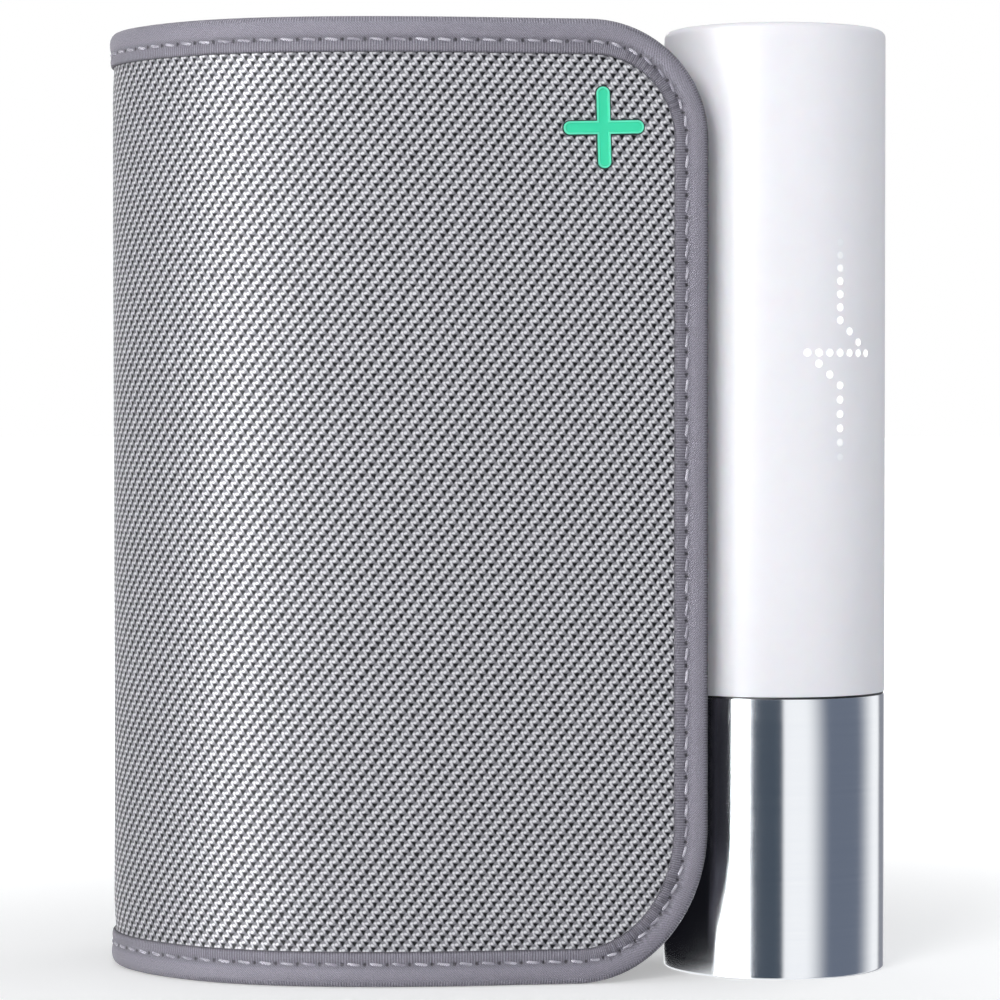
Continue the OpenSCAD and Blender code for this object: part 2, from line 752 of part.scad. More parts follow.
module saddle_screws() {
    head = saddle_x + screw_sink;
    color([0.7, 0.71, 0.73]) screw_places() {
        rod_x(screw_d / 2, head, screw_reach - chassis_r, 0, 0);
        rod_x(screw_d, head, head + saddle_lip, 0, 0);
    }
}

// ---------------------------------------------------------------- rolled cuff
module cuff_fabric() {
    color([0.62, 0.62, 0.65]) difference() {
        cuff_layer(fabric_o, padding_o, binding_edge);
        rod_x(nipple_r + air_gap, cuff_side_x - strip_t, cuff_side_x + over, 0, nipple_z);
    }
}

module bladder_band(o0, o1, slack) {
    patch(cuff_start, cuff_path, BACK, TAIL_LEFT, o0, o1,
        bladder_margin - slack, unit_h - bladder_margin + slack);
}

module cuff_padding() {
    color([0.8, 0.8, 0.75]) difference() {
        cuff_layer(padding_o, liner_o, binding_edge);
        bladder_band(padding_o - layer_gap / 4, liner_o + layer_gap / 4, 0);
    }
}

module air_bladder() {
    color([0.3, 0.32, 0.38]) difference() {
        bladder_band(padding_o, liner_o, 0);
        rod_x(nipple_r + glue_gap, cuff_side_x - padding_o - nipple_in - 0.1, cuff_side_x, 0,
            nipple_z);
    }
}

module cuff_liner() {
    color([0.35, 0.36, 0.4]) difference() {
        cuff_layer(liner_o, skin_o, binding_edge);
        rod_x(sensor_r + drop_gap, cuff_side_x - strip_t, cuff_side_x - liner_o + 0.2,
            sensor_y, sensor_z);
    }
}

module cuff_binding() {
    color([0.53, 0.51, 0.57]) difference() {
        cuff_layer(0, strip_t, 0);
        cuff_layer(fabric_o, skin_o, binding_edge, over);
        cuff_layer(-layer_gap / 4, strip_t + layer_gap / 4, binding_w, over);
    }
}

module loop_pad() {
    color([0.45, 0.45, 0.48]) patch(cuff_start, cuff_path, TAIL_STRAIGHT, TAIL_MIDDLE,
        fabric_o - loop_t, fabric_o, pad_margin, unit_h - pad_margin);
}

module cuff_electrodes() {
    face = cuff_side_x - skin_o;
    r = 3;
    color([0.75, 0.76, 0.78]) for (side = [-1, 1])
        translate([face - electrode_t, sensor_y, sensor_z + side * electrode_off])
            rotate([90, 0, 90]) linear_extrude(electrode_t) {
                square([electrode_w - 2 * r, electrode_h], center = true);
                square([electrode_w, electrode_h - 2 * r], center = true);
                for (x = [-1, 1], z = [-1, 1])
                    translate([x * (electrode_w / 2 - r), z * (electrode_h / 2 - r)])
                        circle(r = r, $fn = 32);
            }
}

module sensor_housing() {
    seat = cuff_side_x - liner_o;
    color([0.13, 0.13, 0.15]) difference() {
        rod_x(sensor_r, housing_top, seat, sensor_y, sensor_z);
        rod_x(sensor_r - 2.5, housing_top - over, seat - 1, sensor_y, sensor_z);
    }
}

module sensor_microphone() {
    seat = cuff_side_x - liner_o - 1;
    color([0.7, 0.6, 0.3]) rod_x(3, seat - 1.2, seat, sensor_y, sensor_z);
}

module sensor_membrane() {
    color([0.25, 0.25, 0.28])
        rod_x(sensor_r - 1.2, housing_top - membrane_t, housing_top, sensor_y, sensor_z);
}

module sensor_ring() {
    rim = housing_top - membrane_t - sensor_step;
    color([0.78, 0.79, 0.8]) difference() {
        rod_x(sensor_r, rim, housing_top, sensor_y, sensor_z);
        rod_x(sensor_r - 1.15, rim + sensor_step, housing_top + over, sensor_y, sensor_z);
        rod_x(sensor_r - 2.4, rim - over, housing_top + over, sensor_y, sensor_z);
    }
}

// ---------------------------------------------------------------- flap
module flap_fabric() {
    color([0.62, 0.62, 0.65]) flap_layer(fabric_o, padding_o, binding_edge);
}

module flap_padding() {
    color([0.8, 0.8, 0.75]) flap_layer(padding_o, liner_o, binding_edge);
}

module flap_liner() {
    color([0.35, 0.36, 0.4]) flap_layer(liner_o, skin_o, binding_edge);
}

module flap_binding() {
    color([0.53, 0.51, 0.57]) difference() {
        flap_layer(0, strip_t, 0);
        flap_layer(fabric_o, skin_o, binding_edge, over);
        flap_layer(-layer_gap / 4, strip_t + layer_gap / 4, binding_w, over);
    }
}

module hook_pad() {
    start = 14;
    color([0.2, 0.2, 0.22]) patch(go(flap_start, [0, 0], start),
        [[0, flap_straight - start], flap_path[1]], 0, 1, skin_o, skin_o + hook_t,
        pad_margin, unit_h - pad_margin);
}

module plus_arm_outline() {
    r = plus_arm / 2;
    square([plus_span - plus_arm, plus_arm], center = true);
    for (x = [-1, 1]) translate([x * (plus_span / 2 - r), 0]) circle(r = r, $fn = 32);
}

module plus_badge() {
    p = aside(go(flap_start, [0, 0], plus_from_end), fabric_o);
    color([0.18, 0.84, 0.65]) translate([p[0], p[1], unit_h - plus_below_top])
        rotate([0, 0, flap_start[2]]) rotate([-90, 0, 0]) linear_extrude(plus_t) {
            plus_arm_outline();
            rotate([0, 0, 90]) plus_arm_outline();
        }
}

tube_shell();
steel_sleeve();
insulator_ring();
top_cap();
cap_seal();
charge_port();
port_tongue();
chassis();
main_board();
board_chips();
led_board();
led_dies();
light_block();
light_dots();
display_ribbon();
battery_cell();
electrode_spring();
air_pump();
air_manifold();
release_valve();
pressure_sensor();
air_nipple();
nipple_seal();
button_board();
button_switch();
tube_saddle();
saddle_screws();
cuff_fabric();
cuff_padding();
air_bladder();
cuff_liner();
cuff_binding();
loop_pad();
cuff_electrodes();
sensor_housing();
sensor_microphone();
sensor_membrane();
sensor_ring();
flap_fabric();
flap_padding();
flap_liner();
flap_binding();
hook_pad();
plus_badge();
power_button();
switch_plunger();
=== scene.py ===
"""Arm-cuff health monitor: finish, fabric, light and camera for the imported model.

Sizes below are millimetres; meshes are made in metres, in the model's own frame.
"""
import math
import bmesh
import bpy
from mathutils import Matrix, Vector, noise


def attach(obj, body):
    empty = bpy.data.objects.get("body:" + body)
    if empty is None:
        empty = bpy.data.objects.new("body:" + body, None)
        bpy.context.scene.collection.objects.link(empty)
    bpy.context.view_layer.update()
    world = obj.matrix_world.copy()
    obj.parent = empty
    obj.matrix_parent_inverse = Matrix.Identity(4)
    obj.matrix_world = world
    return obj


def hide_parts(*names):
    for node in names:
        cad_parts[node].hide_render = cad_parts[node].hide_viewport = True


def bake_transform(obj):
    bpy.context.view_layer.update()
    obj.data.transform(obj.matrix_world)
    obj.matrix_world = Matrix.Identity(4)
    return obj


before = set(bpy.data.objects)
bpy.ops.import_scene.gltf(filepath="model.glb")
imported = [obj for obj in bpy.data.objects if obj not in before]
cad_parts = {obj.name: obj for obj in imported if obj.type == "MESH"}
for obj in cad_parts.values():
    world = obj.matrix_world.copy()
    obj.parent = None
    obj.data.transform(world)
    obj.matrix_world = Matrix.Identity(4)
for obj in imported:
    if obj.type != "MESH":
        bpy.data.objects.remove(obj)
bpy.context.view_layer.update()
MM = 0.001

# Tube
TUBE_R, UNIT_H = 18.3, 155.0
BORE_R, NECK_R, RING_R = 16.5, 17.25, 18.1
SLEEVE_H, SHELL_LOW = 45.5, 45.82       # top of the steel, foot of the white shell
DISPLAY_AZ, DISPLAY_Z = 31.5, 101.6     # the crossing of the lit trace
COLUMN_STEP = 6.2                       # degrees
UPPER_STEP, SLANT_STEP, LOWER_STEP = 2.11, 1.76, 2.32
DOT_D = 1.35

# Cuff strip: depths of its layers below the binding's outer face
STRIP_T = 5.0
FABRIC_O, PADDING_O, LINER_O, SKIN_O = 0.4, 1.6, 3.8, 4.6
LAYER_STEP = 5.5
CORNER = {"top": (19.3, 19.3), "low": (21.2, 25.0)}   # along the strip and up its edge
CORNER_PARTS = 24
BINDING_W = 5.8
INSET = 0.5                             # how far the layers stay inside the binding's edge
STITCH_IN, STITCH_PITCH, STITCH_HALF = 3.8, 3.6, 1.2
HOOK_S = (14.0, 55.0)
PATCH_EDGE = 12.0
BAG_EDGE, RAIL_EDGE = 9.2, 9.0
PLUS_S, PLUS_DOWN, PLUS_LEAN = 17.4, 17.5, 1.5

AMBIENT = 0.36


# ---------------------------------------------------------------- the strip's path
def path_of_strip():
    """Every stretch of the strip: its first place and heading, bend radius and length."""
    slant, straight, middle, turn = 8.5, 37.1, 13.0, 47.5
    flat, soft, left, tight = 125, 70, 38.4, 22.0
    left_back, right_back, right_front = 42.0, 20.0, 12.0
    side_x, tail_back = -24.2, 20.0
    start = (-11.8, -20.65, math.radians(180 + slant))
    flap = [(0, straight), (flat, slant), (soft, middle), (left, turn), (tight, 90 - middle - turn)]
    stops, hinge = walk(start, flap)
    back_len = side_x - right_back - (hinge[0] + left_back)
    back_y = hinge[1] + left_back
    inner = aside(start, LAYER_STEP + right_front)
    skip = (side_x - right_front - inner[0]) / math.cos(start[2])
    low = aside(ahead(start, 0, skip), LAYER_STEP + right_front)
    side_len = back_y - right_back - low[1]
    cuff = [(left_back, 90), (0, back_len), (right_back, 90), (0, side_len),
            (right_front, 90 - slant), (0, straight - skip)]
    cuff += [(radius - LAYER_STEP, size) for radius, size in flap[1:] + [(left_back, 90)]]
    return stops + walk(hinge, cuff + [(0, tail_back)])[0], len(stops)


def ahead(place, radius, length):
    x, y, a = place
    if radius == 0:
        return x + length * math.cos(a), y + length * math.sin(a), a
    b = a - length / radius
    return x + radius * (math.sin(a) - math.sin(b)), y + radius * (math.cos(b) - math.cos(a)), b


def aside(place, o):
    return place[0] + o * math.sin(place[2]), place[1] - o * math.cos(place[2])


def walk(place, stretches):
    stops = []
    for radius, size in stretches:
        length = radius * math.radians(size) if radius else size
        stops.append((place, radius, length))
        place = ahead(place, radius, length)
    return stops, place


STRETCHES, FLAP_COUNT = path_of_strip()


def run_to(count):
    """How far along the strip the first stretches reach."""
    return sum(length for _, _, length in STRETCHES[:count])


STRIP_L = run_to(len(STRETCHES))
HINGE_S = run_to(FLAP_COUNT)
SEAM_S = HINGE_S + 13
BAG_S = (run_to(FLAP_COUNT + 1), run_to(FLAP_COUNT + 10))
LOOP_S = (run_to(FLAP_COUNT + 5), run_to(FLAP_COUNT + 8))


def on_path(s):
    for place, radius, length in STRETCHES:
        if s <= length or (place, radius, length) == STRETCHES[-1]:
            return ahead(place, radius, s)
        s -= length


def strip_point(s, o, z):
    """A point of the rolled strip: s along it from the flap's end, o deep, z high."""
    x, y = aside(on_path(s), o)
    return Vector((x * MM, y * MM, z * MM))


def edge_distance(s, z):
    """How far a point of the flat strip lies inside its bound edges."""
    ds = min(s, STRIP_L - s)
    dz = min(z, UNIT_H - z)
    a, b = CORNER["low" if z < UNIT_H / 2 else "top"]
    if ds < a and dz < b:
        return (1 - math.hypot(1 - ds / a, 1 - dz / b)) * (a + b) / 2
    return min(ds, dz)


def smooth(x):
    x = min(max(x, 0), 1)
    return x * x * (3 - 2 * x)


def steps(low, high, step):
    count = max(1, math.ceil((high - low) / step))
    return [low + (high - low) * k / count for k in range(count + 1)]


def lengths(outline):
    """How far along a line of places each of them lies."""
    total, result = 0.0, [0.0]
    for a, b in zip(outline, outline[1:]):
        total += math.hypot(b[0] - a[0], b[1] - a[1])
        result.append(total)
    return result


# ---------------------------------------------------------------- making pieces
def deselect():
    if bpy.context.object and bpy.context.object.mode != "OBJECT":
        bpy.ops.object.mode_set(mode="OBJECT")
    bpy.ops.object.select_all(action="DESELECT")


def take(piece):
    deselect()
    piece.select_set(True)
    bpy.context.view_layer.objects.active = piece


def settle(piece):
    """Puts the piece's place, turn and size into its mesh."""
    take(piece)
    bpy.ops.object.transform_apply(location=True, rotation=True, scale=True)


def smooth_shading(angle):
    bpy.ops.object.shade_smooth_by_angle(angle=math.radians(angle))


def soft_edges(piece, width, segments, angle):
    take(piece)
    bevel = piece.modifiers.new("soft edges", "BEVEL")
    bevel.width = width * MM
    bevel.segments = segments
    bevel.limit_method = "ANGLE"
    bevel.angle_limit = math.radians(angle)
    bevel.harden_normals = False
    bpy.ops.object.modifier_apply(modifier=bevel.name)
    smooth_shading(angle)


def joined(pieces, name):
    deselect()
    for piece in pieces:
        piece.select_set(True)
    bpy.context.view_layer.objects.active = pieces[0]
    bpy.ops.object.join()
    whole = bpy.context.object
    whole.name = name
    return whole


def mark(piece, name, values, domain="POINT"):
    """A number at every vertex or face, for the piece's material."""
    layer = piece.data.attributes.new(name=name, type="FLOAT", domain=domain)
    layer.data.foreach_set("value", values)


def pick(piece, kind, wanted):
    """Selects, in edit mode, only the faces, edges or vertices that a rule wants."""
    bpy.ops.object.mode_set(mode="EDIT")
    bpy.ops.mesh.select_all(action="DESELECT")
    bpy.ops.mesh.select_mode(type=kind)
    shape = bmesh.from_edit_mesh(piece.data)
    for element in {"FACE": shape.faces, "EDGE": shape.edges, "VERT": shape.verts}[kind]:
        if wanted(element):
            element.select_set(True)
    bmesh.update_edit_mesh(piece.data)


def draw_out(x, y, z):
    """Extrudes what is selected."""
    bpy.ops.mesh.extrude_region_move(TRANSFORM_OT_translate={"value": (x * MM, y * MM, z * MM)})


def turned(name, rings, segments=192):
    """A turned piece: a ring of points extruded from one radius and height to the next."""
    deselect()
    r0, z0 = rings[0]
    bpy.ops.mesh.primitive_circle_add(vertices=segments, radius=r0 * MM, location=(0, 0, z0 * MM))
    piece = bpy.context.object
    piece.name = name
    bpy.ops.object.transform_apply(location=True)
    bpy.ops.object.mode_set(mode="EDIT")
    bpy.ops.mesh.select_all(action="SELECT")
    for r, z in rings[1:]:
        draw_out(0, 0, z - z0)
        bpy.ops.transform.resize(value=(r / r0, r / r0, 1), center_override=(0, 0, z * MM))
        r0, z0 = r, z
    bpy.ops.mesh.select_all(action="SELECT")
    bpy.ops.mesh.remove_doubles(threshold=0.00002)
    bpy.ops.mesh.normals_make_consistent(inside=False)
    bpy.ops.object.mode_set(mode="OBJECT")
    smooth_shading(35)
    return piece


def refined(node, name, width):
    """A copy of a CAD node with its sharp edges eased, which stands for the node."""
    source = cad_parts[node]
    piece = source.copy()
    piece.data = source.data.copy()
    piece.name = name
    piece.parent = None
    piece.matrix_world = source.matrix_world.copy()
    bpy.context.collection.objects.link(piece)
    take(piece)
    bpy.ops.mesh.customdata_custom_splitnormals_clear()
    bpy.ops.object.mode_set(mode="EDIT")
    bpy.ops.mesh.select_all(action="SELECT")
    bpy.ops.mesh.remove_doubles(threshold=0.000002)
    bpy.ops.mesh.dissolve_limited(angle_limit=math.radians(0.6))
    bpy.ops.object.mode_set(mode="OBJECT")
    settle(piece)
    soft_edges(piece, width, 2, 40)
    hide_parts(node)
    return piece


def mesh_piece(name, points, faces, places=None):
    """A piece of cloth or padding from its points, its faces and its points' flat places."""
    data = bpy.data.meshes.new(name)
    data.from_pydata(points, [], faces)
    if places:
        layer = data.uv_layers.new(name="flat")
        for loop in data.loops:
            layer.data[loop.index].uv = places[loop.vertex_index]
    piece = bpy.data.objects.new(name, data)
    bpy.context.collection.objects.link(piece)
    shape = bmesh.new()
    shape.from_mesh(data)
    bmesh.ops.recalc_face_normals(shape, faces=shape.faces)
    shape.to_mesh(data)
    shape.free()
    take(piece)
    smooth_shading(40)
    return piece


# ---------------------------------------------------------------- layers of the strip
def corner_steps(count=14):
    """Distances from a rounded end, closer together where the corner is steep."""
    r = CORNER["low"][0] - INSET
    return [r * (1 - math.cos(math.pi / 2 * k / count)) for k in range(count)]


def corner_cut(which, d, inset):
    """How far a rounded corner draws the edge in, at a distance from the strip's bound end."""
    a, b = (r - inset for r in CORNER[which])
    share = 1 - max(d - inset, 0) / a
    return b * (1 - math.sqrt(1 - share ** 2)) if share > 0 else 0.0


def closed_layer(name, along, rows, point):
    """A closed layer with a row of points outside and one inside at each step along it.

    point(s, side, row) gives each point and its height; side is 0 outside and 1 inside.
    """
    points, places, faces = [], [], []
    n = len(rows)
    for s in along:
        for side in (0, 1):
            for row in rows:
                place, z = point(s, side, row)
                points.append(place)
                places.append((-s, z))
    for i in range(len(along) - 1):
        a, b = i * 2 * n, (i + 1) * 2 * n
        for j in range(n - 1):
            faces.append((a + j, b + j, b + j + 1, a + j + 1))
            faces.append((a + n + j, a + n + j + 1, b + n + j + 1, b + n + j))
        faces.append((a, a + n, b + n, b))
        faces.append((a + n - 1, b + n - 1, b + 2 * n - 1, a + 2 * n - 1))
    last = (len(along) - 1) * 2 * n
    for j in range(n - 1):
        faces.append((j, j + 1, n + j + 1, n + j))
        faces.append((last + j, last + n + j, last + n + j + 1, last + j + 1))
    return mesh_piece(name, points, faces, places)


def strip_layer(name, along, low, high, outer, inner, rise=None, end=None, row_step=2.4):
    """A layer of the strip over the distances in along, between two heights.

    outer and inner are its depths, and rise(s, z) lifts its outer face. Where end is given, the
    strip's end there has its rounded corners.
    """
    half = UNIT_H / 2
    rows = [z / half for z in [0, 2.2, 4.4, 5.3, 6.2, 7.4, 9.0] + steps(11, half, row_step)]
    shares = [k / 2 for k in rows] + [1 - k / 2 for k in reversed(rows[:-1])]
    if high - low < half:
        shares = [k / 6 for k in range(7)]

    def point(s, side, share):
        top, foot = (corner_cut(which, abs(s - end), low) if end is not None else 0.0
                     for which in ("top", "low"))
        z = low + foot + (high - low - foot - top) * share
        lift = rise(s, z) if rise and side == 0 else 0.0
        return strip_point(s, (inner if side else outer) - lift, z), z

    return closed_layer(name, along, shares, point)


def waves(s, z):
    """The fabric's slight unevenness over its padding."""
    calm = noise.noise(Vector((s / 34, z / 55, 3.1)))
    small = noise.noise(Vector((s / 11, z / 16, 7.7)))
    return 0.10 * calm + 0.035 * small


def fabric_rise(s, z):
    puff = smooth((edge_distance(s, z) - BINDING_W + 0.6) / 6)
    return puff * (0.22 + waves(s, z)) - 0.05


def tail_rise(s, z):
    """The fabric's rise, held down where the flap lies on the rolled tail."""
    return fabric_rise(s, z) * (1 - smooth((s - LOOP_S[0]) / 8) * 0.8)


# ---------------------------------------------------------------- cuff pieces
LAYER_HEIGHTS = (INSET, UNIT_H - INSET)
END_RUN = CORNER["low"][0]
FLAP_S = [INSET + d for d in corner_steps()] + steps(END_RUN, SEAM_S, 1.9)


def to_tail_end(first, step, corner_count=14):
    """Distances along the strip from a first one to the tail's rounded end."""
    return steps(first, STRIP_L - END_RUN, step) + [
        STRIP_L - INSET - d for d in reversed(corner_steps(corner_count))]


def flap_layers():
    fabric = strip_layer("flap_outer", FLAP_S, *LAYER_HEIGHTS, FABRIC_O, PADDING_O, fabric_rise, 0)
    padding = strip_layer("flap_pad", FLAP_S[::2], *LAYER_HEIGHTS, PADDING_O, LINER_O, None, 0, 6)
    liner = strip_layer("flap_lining", FLAP_S, *LAYER_HEIGHTS, LINER_O, SKIN_O, None, 0)
    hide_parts("flap_fabric")
    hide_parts("flap_padding")
    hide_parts("flap_liner")
    return fabric, padding, liner


def cuff_layers():
    along = to_tail_end(SEAM_S, 1.9)
    fabric = strip_layer("cuff_outer", along, *LAYER_HEIGHTS, FABRIC_O, PADDING_O, tail_rise, STRIP_L)
    liner = strip_layer("cuff_lining", along, *LAYER_HEIGHTS, LINER_O, SKIN_O, None, STRIP_L)
    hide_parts("cuff_fabric")
    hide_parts("cuff_liner")
    return fabric, liner


def plain_patch(name, first, last, outer, inner):
    """A thin patch on the strip."""
    return strip_layer(name, steps(first, last, 1.9), PATCH_EDGE, UNIT_H - PATCH_EDGE, outer, inner)


def cuff_foam():
    """Foam round the air bladder: a full width before and after it, and two rails along it."""
    first, last = BAG_S[0] - 0.6, BAG_S[1] + 0.6
    depths = (PADDING_O, LINER_O)
    parts = [strip_layer("foam", steps(SEAM_S, first, 4), *LAYER_HEIGHTS, *depths, None, None, 6)]
    for low, high in ((INSET, RAIL_EDGE), (UNIT_H - RAIL_EDGE, UNIT_H - INSET)):
        parts.append(strip_layer("foam", steps(first, last, 3), low, high, *depths))
    parts.append(strip_layer("foam", to_tail_end(last, 4, 8), *LAYER_HEIGHTS, *depths, None,
                             STRIP_L, 6))
    piece = joined(parts, "cuff_foam")
    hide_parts("cuff_padding")
    return piece


def air_bag():
    """The air bladder: a flat bag whose two films meet in a welded rim."""
    first, last = BAG_S
    low, high = BAG_EDGE, UNIT_H - BAG_EDGE
    rim = (0, 1.5, 3, 4.5)
    rows = [low + d for d in rim] + steps(low + 7, high - 7, 8) + [high - d for d in reversed(rim)]

    def point(s, side, z):
        d = min(s - first, last - s, z - low, high - z)
        swell = 0.15 + 0.85 * smooth((d - 1.5) / 3)
        return strip_point(s, (PADDING_O + LINER_O) / 2 + (swell if side else -swell), z), z

    piece = closed_layer("air_bag", steps(first, last, 2.5), rows, point)
    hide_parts("air_bladder")
    return piece


def rim_profile():
    """The binding's section: how far in from the edge, and how deep."""
    face = [(5.8, 0.40), (5.8, 0.10), (5.66, -0.02), (5.35, -0.10), (4.9, -0.14), (4.45, -0.10),
            (4.1, 0.02), (3.8, 0.10), (3.5, 0.02), (3.1, -0.12), (2.5, -0.22), (1.8, -0.24),
            (1.2, -0.14), (0.7, 0.10), (0.35, 0.45), (0.12, 0.95), (0.0, 1.6), (-0.05, 2.5)]
    back = [(d, STRIP_T - o) for d, o in reversed(face[:-1])]
    return face + back + [(0.5, SKIN_O), (0.5, FABRIC_O)]


TAPE_ACROSS = lengths(rim_profile())
TAPE_STITCH, TAPE_MIDDLE, TAPE_W = TAPE_ACROSS[7], TAPE_ACROSS[17], TAPE_ACROSS[-3]


def rim_line(end):
    """The flat outline from the seam round one end of the strip and back, from its top edge to its
    lower edge: place along the strip, height and inward direction."""
    toward = 1 if end < SEAM_S else -1
    run = abs(SEAM_S - end)
    (a, b), (c, d) = CORNER["top"], CORNER["low"]
    turns = [math.pi / 2 * k / CORNER_PARTS for k in range(1, CORNER_PARTS)]
    outline = [(SEAM_S - toward * s, UNIT_H, 0, -1) for s in steps(0, run - a, 1.7)]
    for x, z in ((math.sin(t), math.cos(t)) for t in turns):
        outline.append((end + toward * a * (1 - x), UNIT_H - b + b * z, toward * x / a, -z / b))
    outline += [(end, UNIT_H - b - h, toward, 0) for h in steps(0, UNIT_H - b - d, 2.3)]
    for x, z in ((math.cos(t), math.sin(t)) for t in turns):
        outline.append((end + toward * c * (1 - x), d - d * z, toward * x / c, z / d))
    outline += [(end + toward * s, 0, 0, 1) for s in steps(c, run, 1.7)]
    return [(s, z, x / math.hypot(x, h), h / math.hypot(x, h)) for s, z, x, h in outline]


def binding(name, outline):
    """The edge tape, folded round the strip's edge along an outline."""
    profile = rim_profile()
    points, places, faces = [], [], []
    n = len(profile)
    for (s, z, ns, nz), run in zip(outline, lengths(outline)):
        for (d, o), w in zip(profile, TAPE_ACROSS):
            points.append(strip_point(s + ns * d, o, z + nz * d))
            places.append((run, w))
    for i in range(len(outline) - 1):
        for j in range(n):
            a, b = i * n + j, i * n + (j + 1) % n
            faces.append((a, b, b + n, a + n))
    half = n // 2 - 1
    cap = [(n - 1, j, j + 1) for j in range(half)] + [(half, half + 1, n - 2), (half, n - 2, n - 1)]
    cap += [(n - 2, j, j + 1) for j in range(half + 1, n - 3)]
    for base in (0, (len(outline) - 1) * n):
        faces += [tuple(base + k for k in face) for face in cap]
    piece = mesh_piece(name, points, faces, places)
    mark(piece, "bend", [min(1.0, 3 * abs(ns * nz)) for _, _, ns, nz in outline for _ in profile])
    return piece


def on_outline(outline, runs, run):
    """The place on an outline after a run of its length, and the inward direction there."""
    low, high = 0, len(runs) - 1
    while high - low > 1:
        middle = (low + high) // 2
        if runs[middle] <= run:
            low = middle
        else:
            high = middle
    t = (run - runs[low]) / max(runs[high] - runs[low], 1e-9)
    return [p + (q - p) * t for p, q in zip(outline[low], outline[high])]


def stitches(name, outline, thick=0.19):
    """Sewing thread that comes up through the tape, lies on it and goes down again."""
    runs = lengths(outline)
    count = int(runs[-1] / STITCH_PITCH)
    points, faces = [], []
    sides, rings = 6, 5
    for side in (0, 1):
        for k in range(count):
            base = len(points)
            for i in range(rings):
                t = i / (rings - 1) * 2 - 1
                s, z, ns, nz = on_outline(outline, runs, (k + 0.5) * STITCH_PITCH + t * STITCH_HALF)
                height = 0.05 * (1 - t ** 4) - 0.30 * t ** 4
                o = -height if side == 0 else STRIP_T + height
                r = thick * (1.0 - 0.25 * t ** 4)
                for j in range(sides):
                    a = 2 * math.pi * j / sides
                    d = STITCH_IN + 0.16 * t + 1.25 * r * math.cos(a)
                    points.append(strip_point(s + ns * d, o + 0.9 * r * math.sin(a), z + nz * d))
            for i in range(rings - 1):
                for j in range(sides):
                    a = base + i * sides + j
                    b = base + i * sides + (j + 1) % sides
                    faces.append((a, b, b + sides, a + sides))
            faces.append(tuple(base + j for j in reversed(range(sides))))
            faces.append(tuple(base + (rings - 1) * sides + j for j in range(sides)))
    return mesh_piece(name, points, faces)


# ---------------------------------------------------------------- rigid pieces
def quarter(count, first=0.0):
    return [first + math.pi / 2 * k / count for k in range(count + 1)]


def white_shell():
    r = 1.2
    rim = [(TUBE_R - r + r * math.cos(a), UNIT_H - r + r * math.sin(a)) for a in quarter(10)]
    piece = turned("white_tube", [
        (BORE_R, 38), (NECK_R, 38), (NECK_R, SHELL_LOW), (TUBE_R - 0.12, SHELL_LOW),
        (TUBE_R - 0.03, SHELL_LOW + 0.05), (TUBE_R, SHELL_LOW + 0.14), (TUBE_R, 70), (TUBE_R, 90),
        (TUBE_R, 120), *rim, (BORE_R + 0.15, UNIT_H), (BORE_R, UNIT_H - 0.15), (BORE_R, 38)])
    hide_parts("tube_shell")
    return piece


def steel_foot():
    r = 0.4
    foot = [(TUBE_R - r + r * math.cos(a), r + r * math.sin(a)) for a in quarter(8, -math.pi / 2)]
    piece = turned("steel_foot", [
        (0.05, 0.9), (17.4, 0.9), (17.4, SLEEVE_H), (TUBE_R - 0.2, SLEEVE_H),
        (TUBE_R - 0.06, SLEEVE_H - 0.04), (TUBE_R, SLEEVE_H - 0.16), (TUBE_R, 30), (TUBE_R, 15),
        *reversed(foot), (17.2, 0), (0.05, 0), (0.05, 0.9)])
    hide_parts("steel_sleeve")
    return piece


def dark_ring():
    low, high, edge = SLEEVE_H, SHELL_LOW, RING_R - 0.04
    piece = turned("dark_ring", [(NECK_R, low), (edge, low), (RING_R, low + 0.06),
                                 (RING_R, high - 0.06), (edge, high), (NECK_R, high), (NECK_R, low)])
    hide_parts("insulator_ring")
    return piece


def lit_dot_places():
    """Column and height over the crossing of every lit dot, and how brightly it is lit."""
    knee = 3 * SLANT_STEP
    dots = [(0, knee + k * UPPER_STEP, lit)
            for k, lit in enumerate((1, 1, 1, 0.8, 0.35, 0.12, 0.04))]
    dots += [(1, 2 * SLANT_STEP, 1), (2, SLANT_STEP, 1)]
    dots += [(c, 0, 1) for c in range(-3, 4)]
    dots += [(k - 3, -k * SLANT_STEP, 1) for k in (1, 2, 3)]
    dots += [(0, -knee - k * LOWER_STEP, lit) for k, lit in enumerate((1, 1, 0.9, 0.3, 0.08), 1)]
    return dots


def lens_dot():
    """One dot: a short peg whose front is drawn up into a shallow lens."""
    deselect()
    bpy.ops.mesh.primitive_cylinder_add(vertices=24, radius=DOT_D / 2 * MM, depth=0.5 * MM)
    dot = bpy.context.object
    pick(dot, "FACE", lambda face: face.normal.z > 0.5)
    for inset, up in ((0.08, 0.02), (0.12, 0.02), (0.16, 0.01)):
        bpy.ops.mesh.inset(thickness=inset * MM)
        bpy.ops.transform.translate(value=(0, 0, up * MM))
    bpy.ops.object.mode_set(mode="OBJECT")
    mark(dot, "core", [smooth(2.4 - 2.4 * vert.co.xy.length / (DOT_D / 2 * MM))
                       for vert in dot.data.vertices])
    return dot


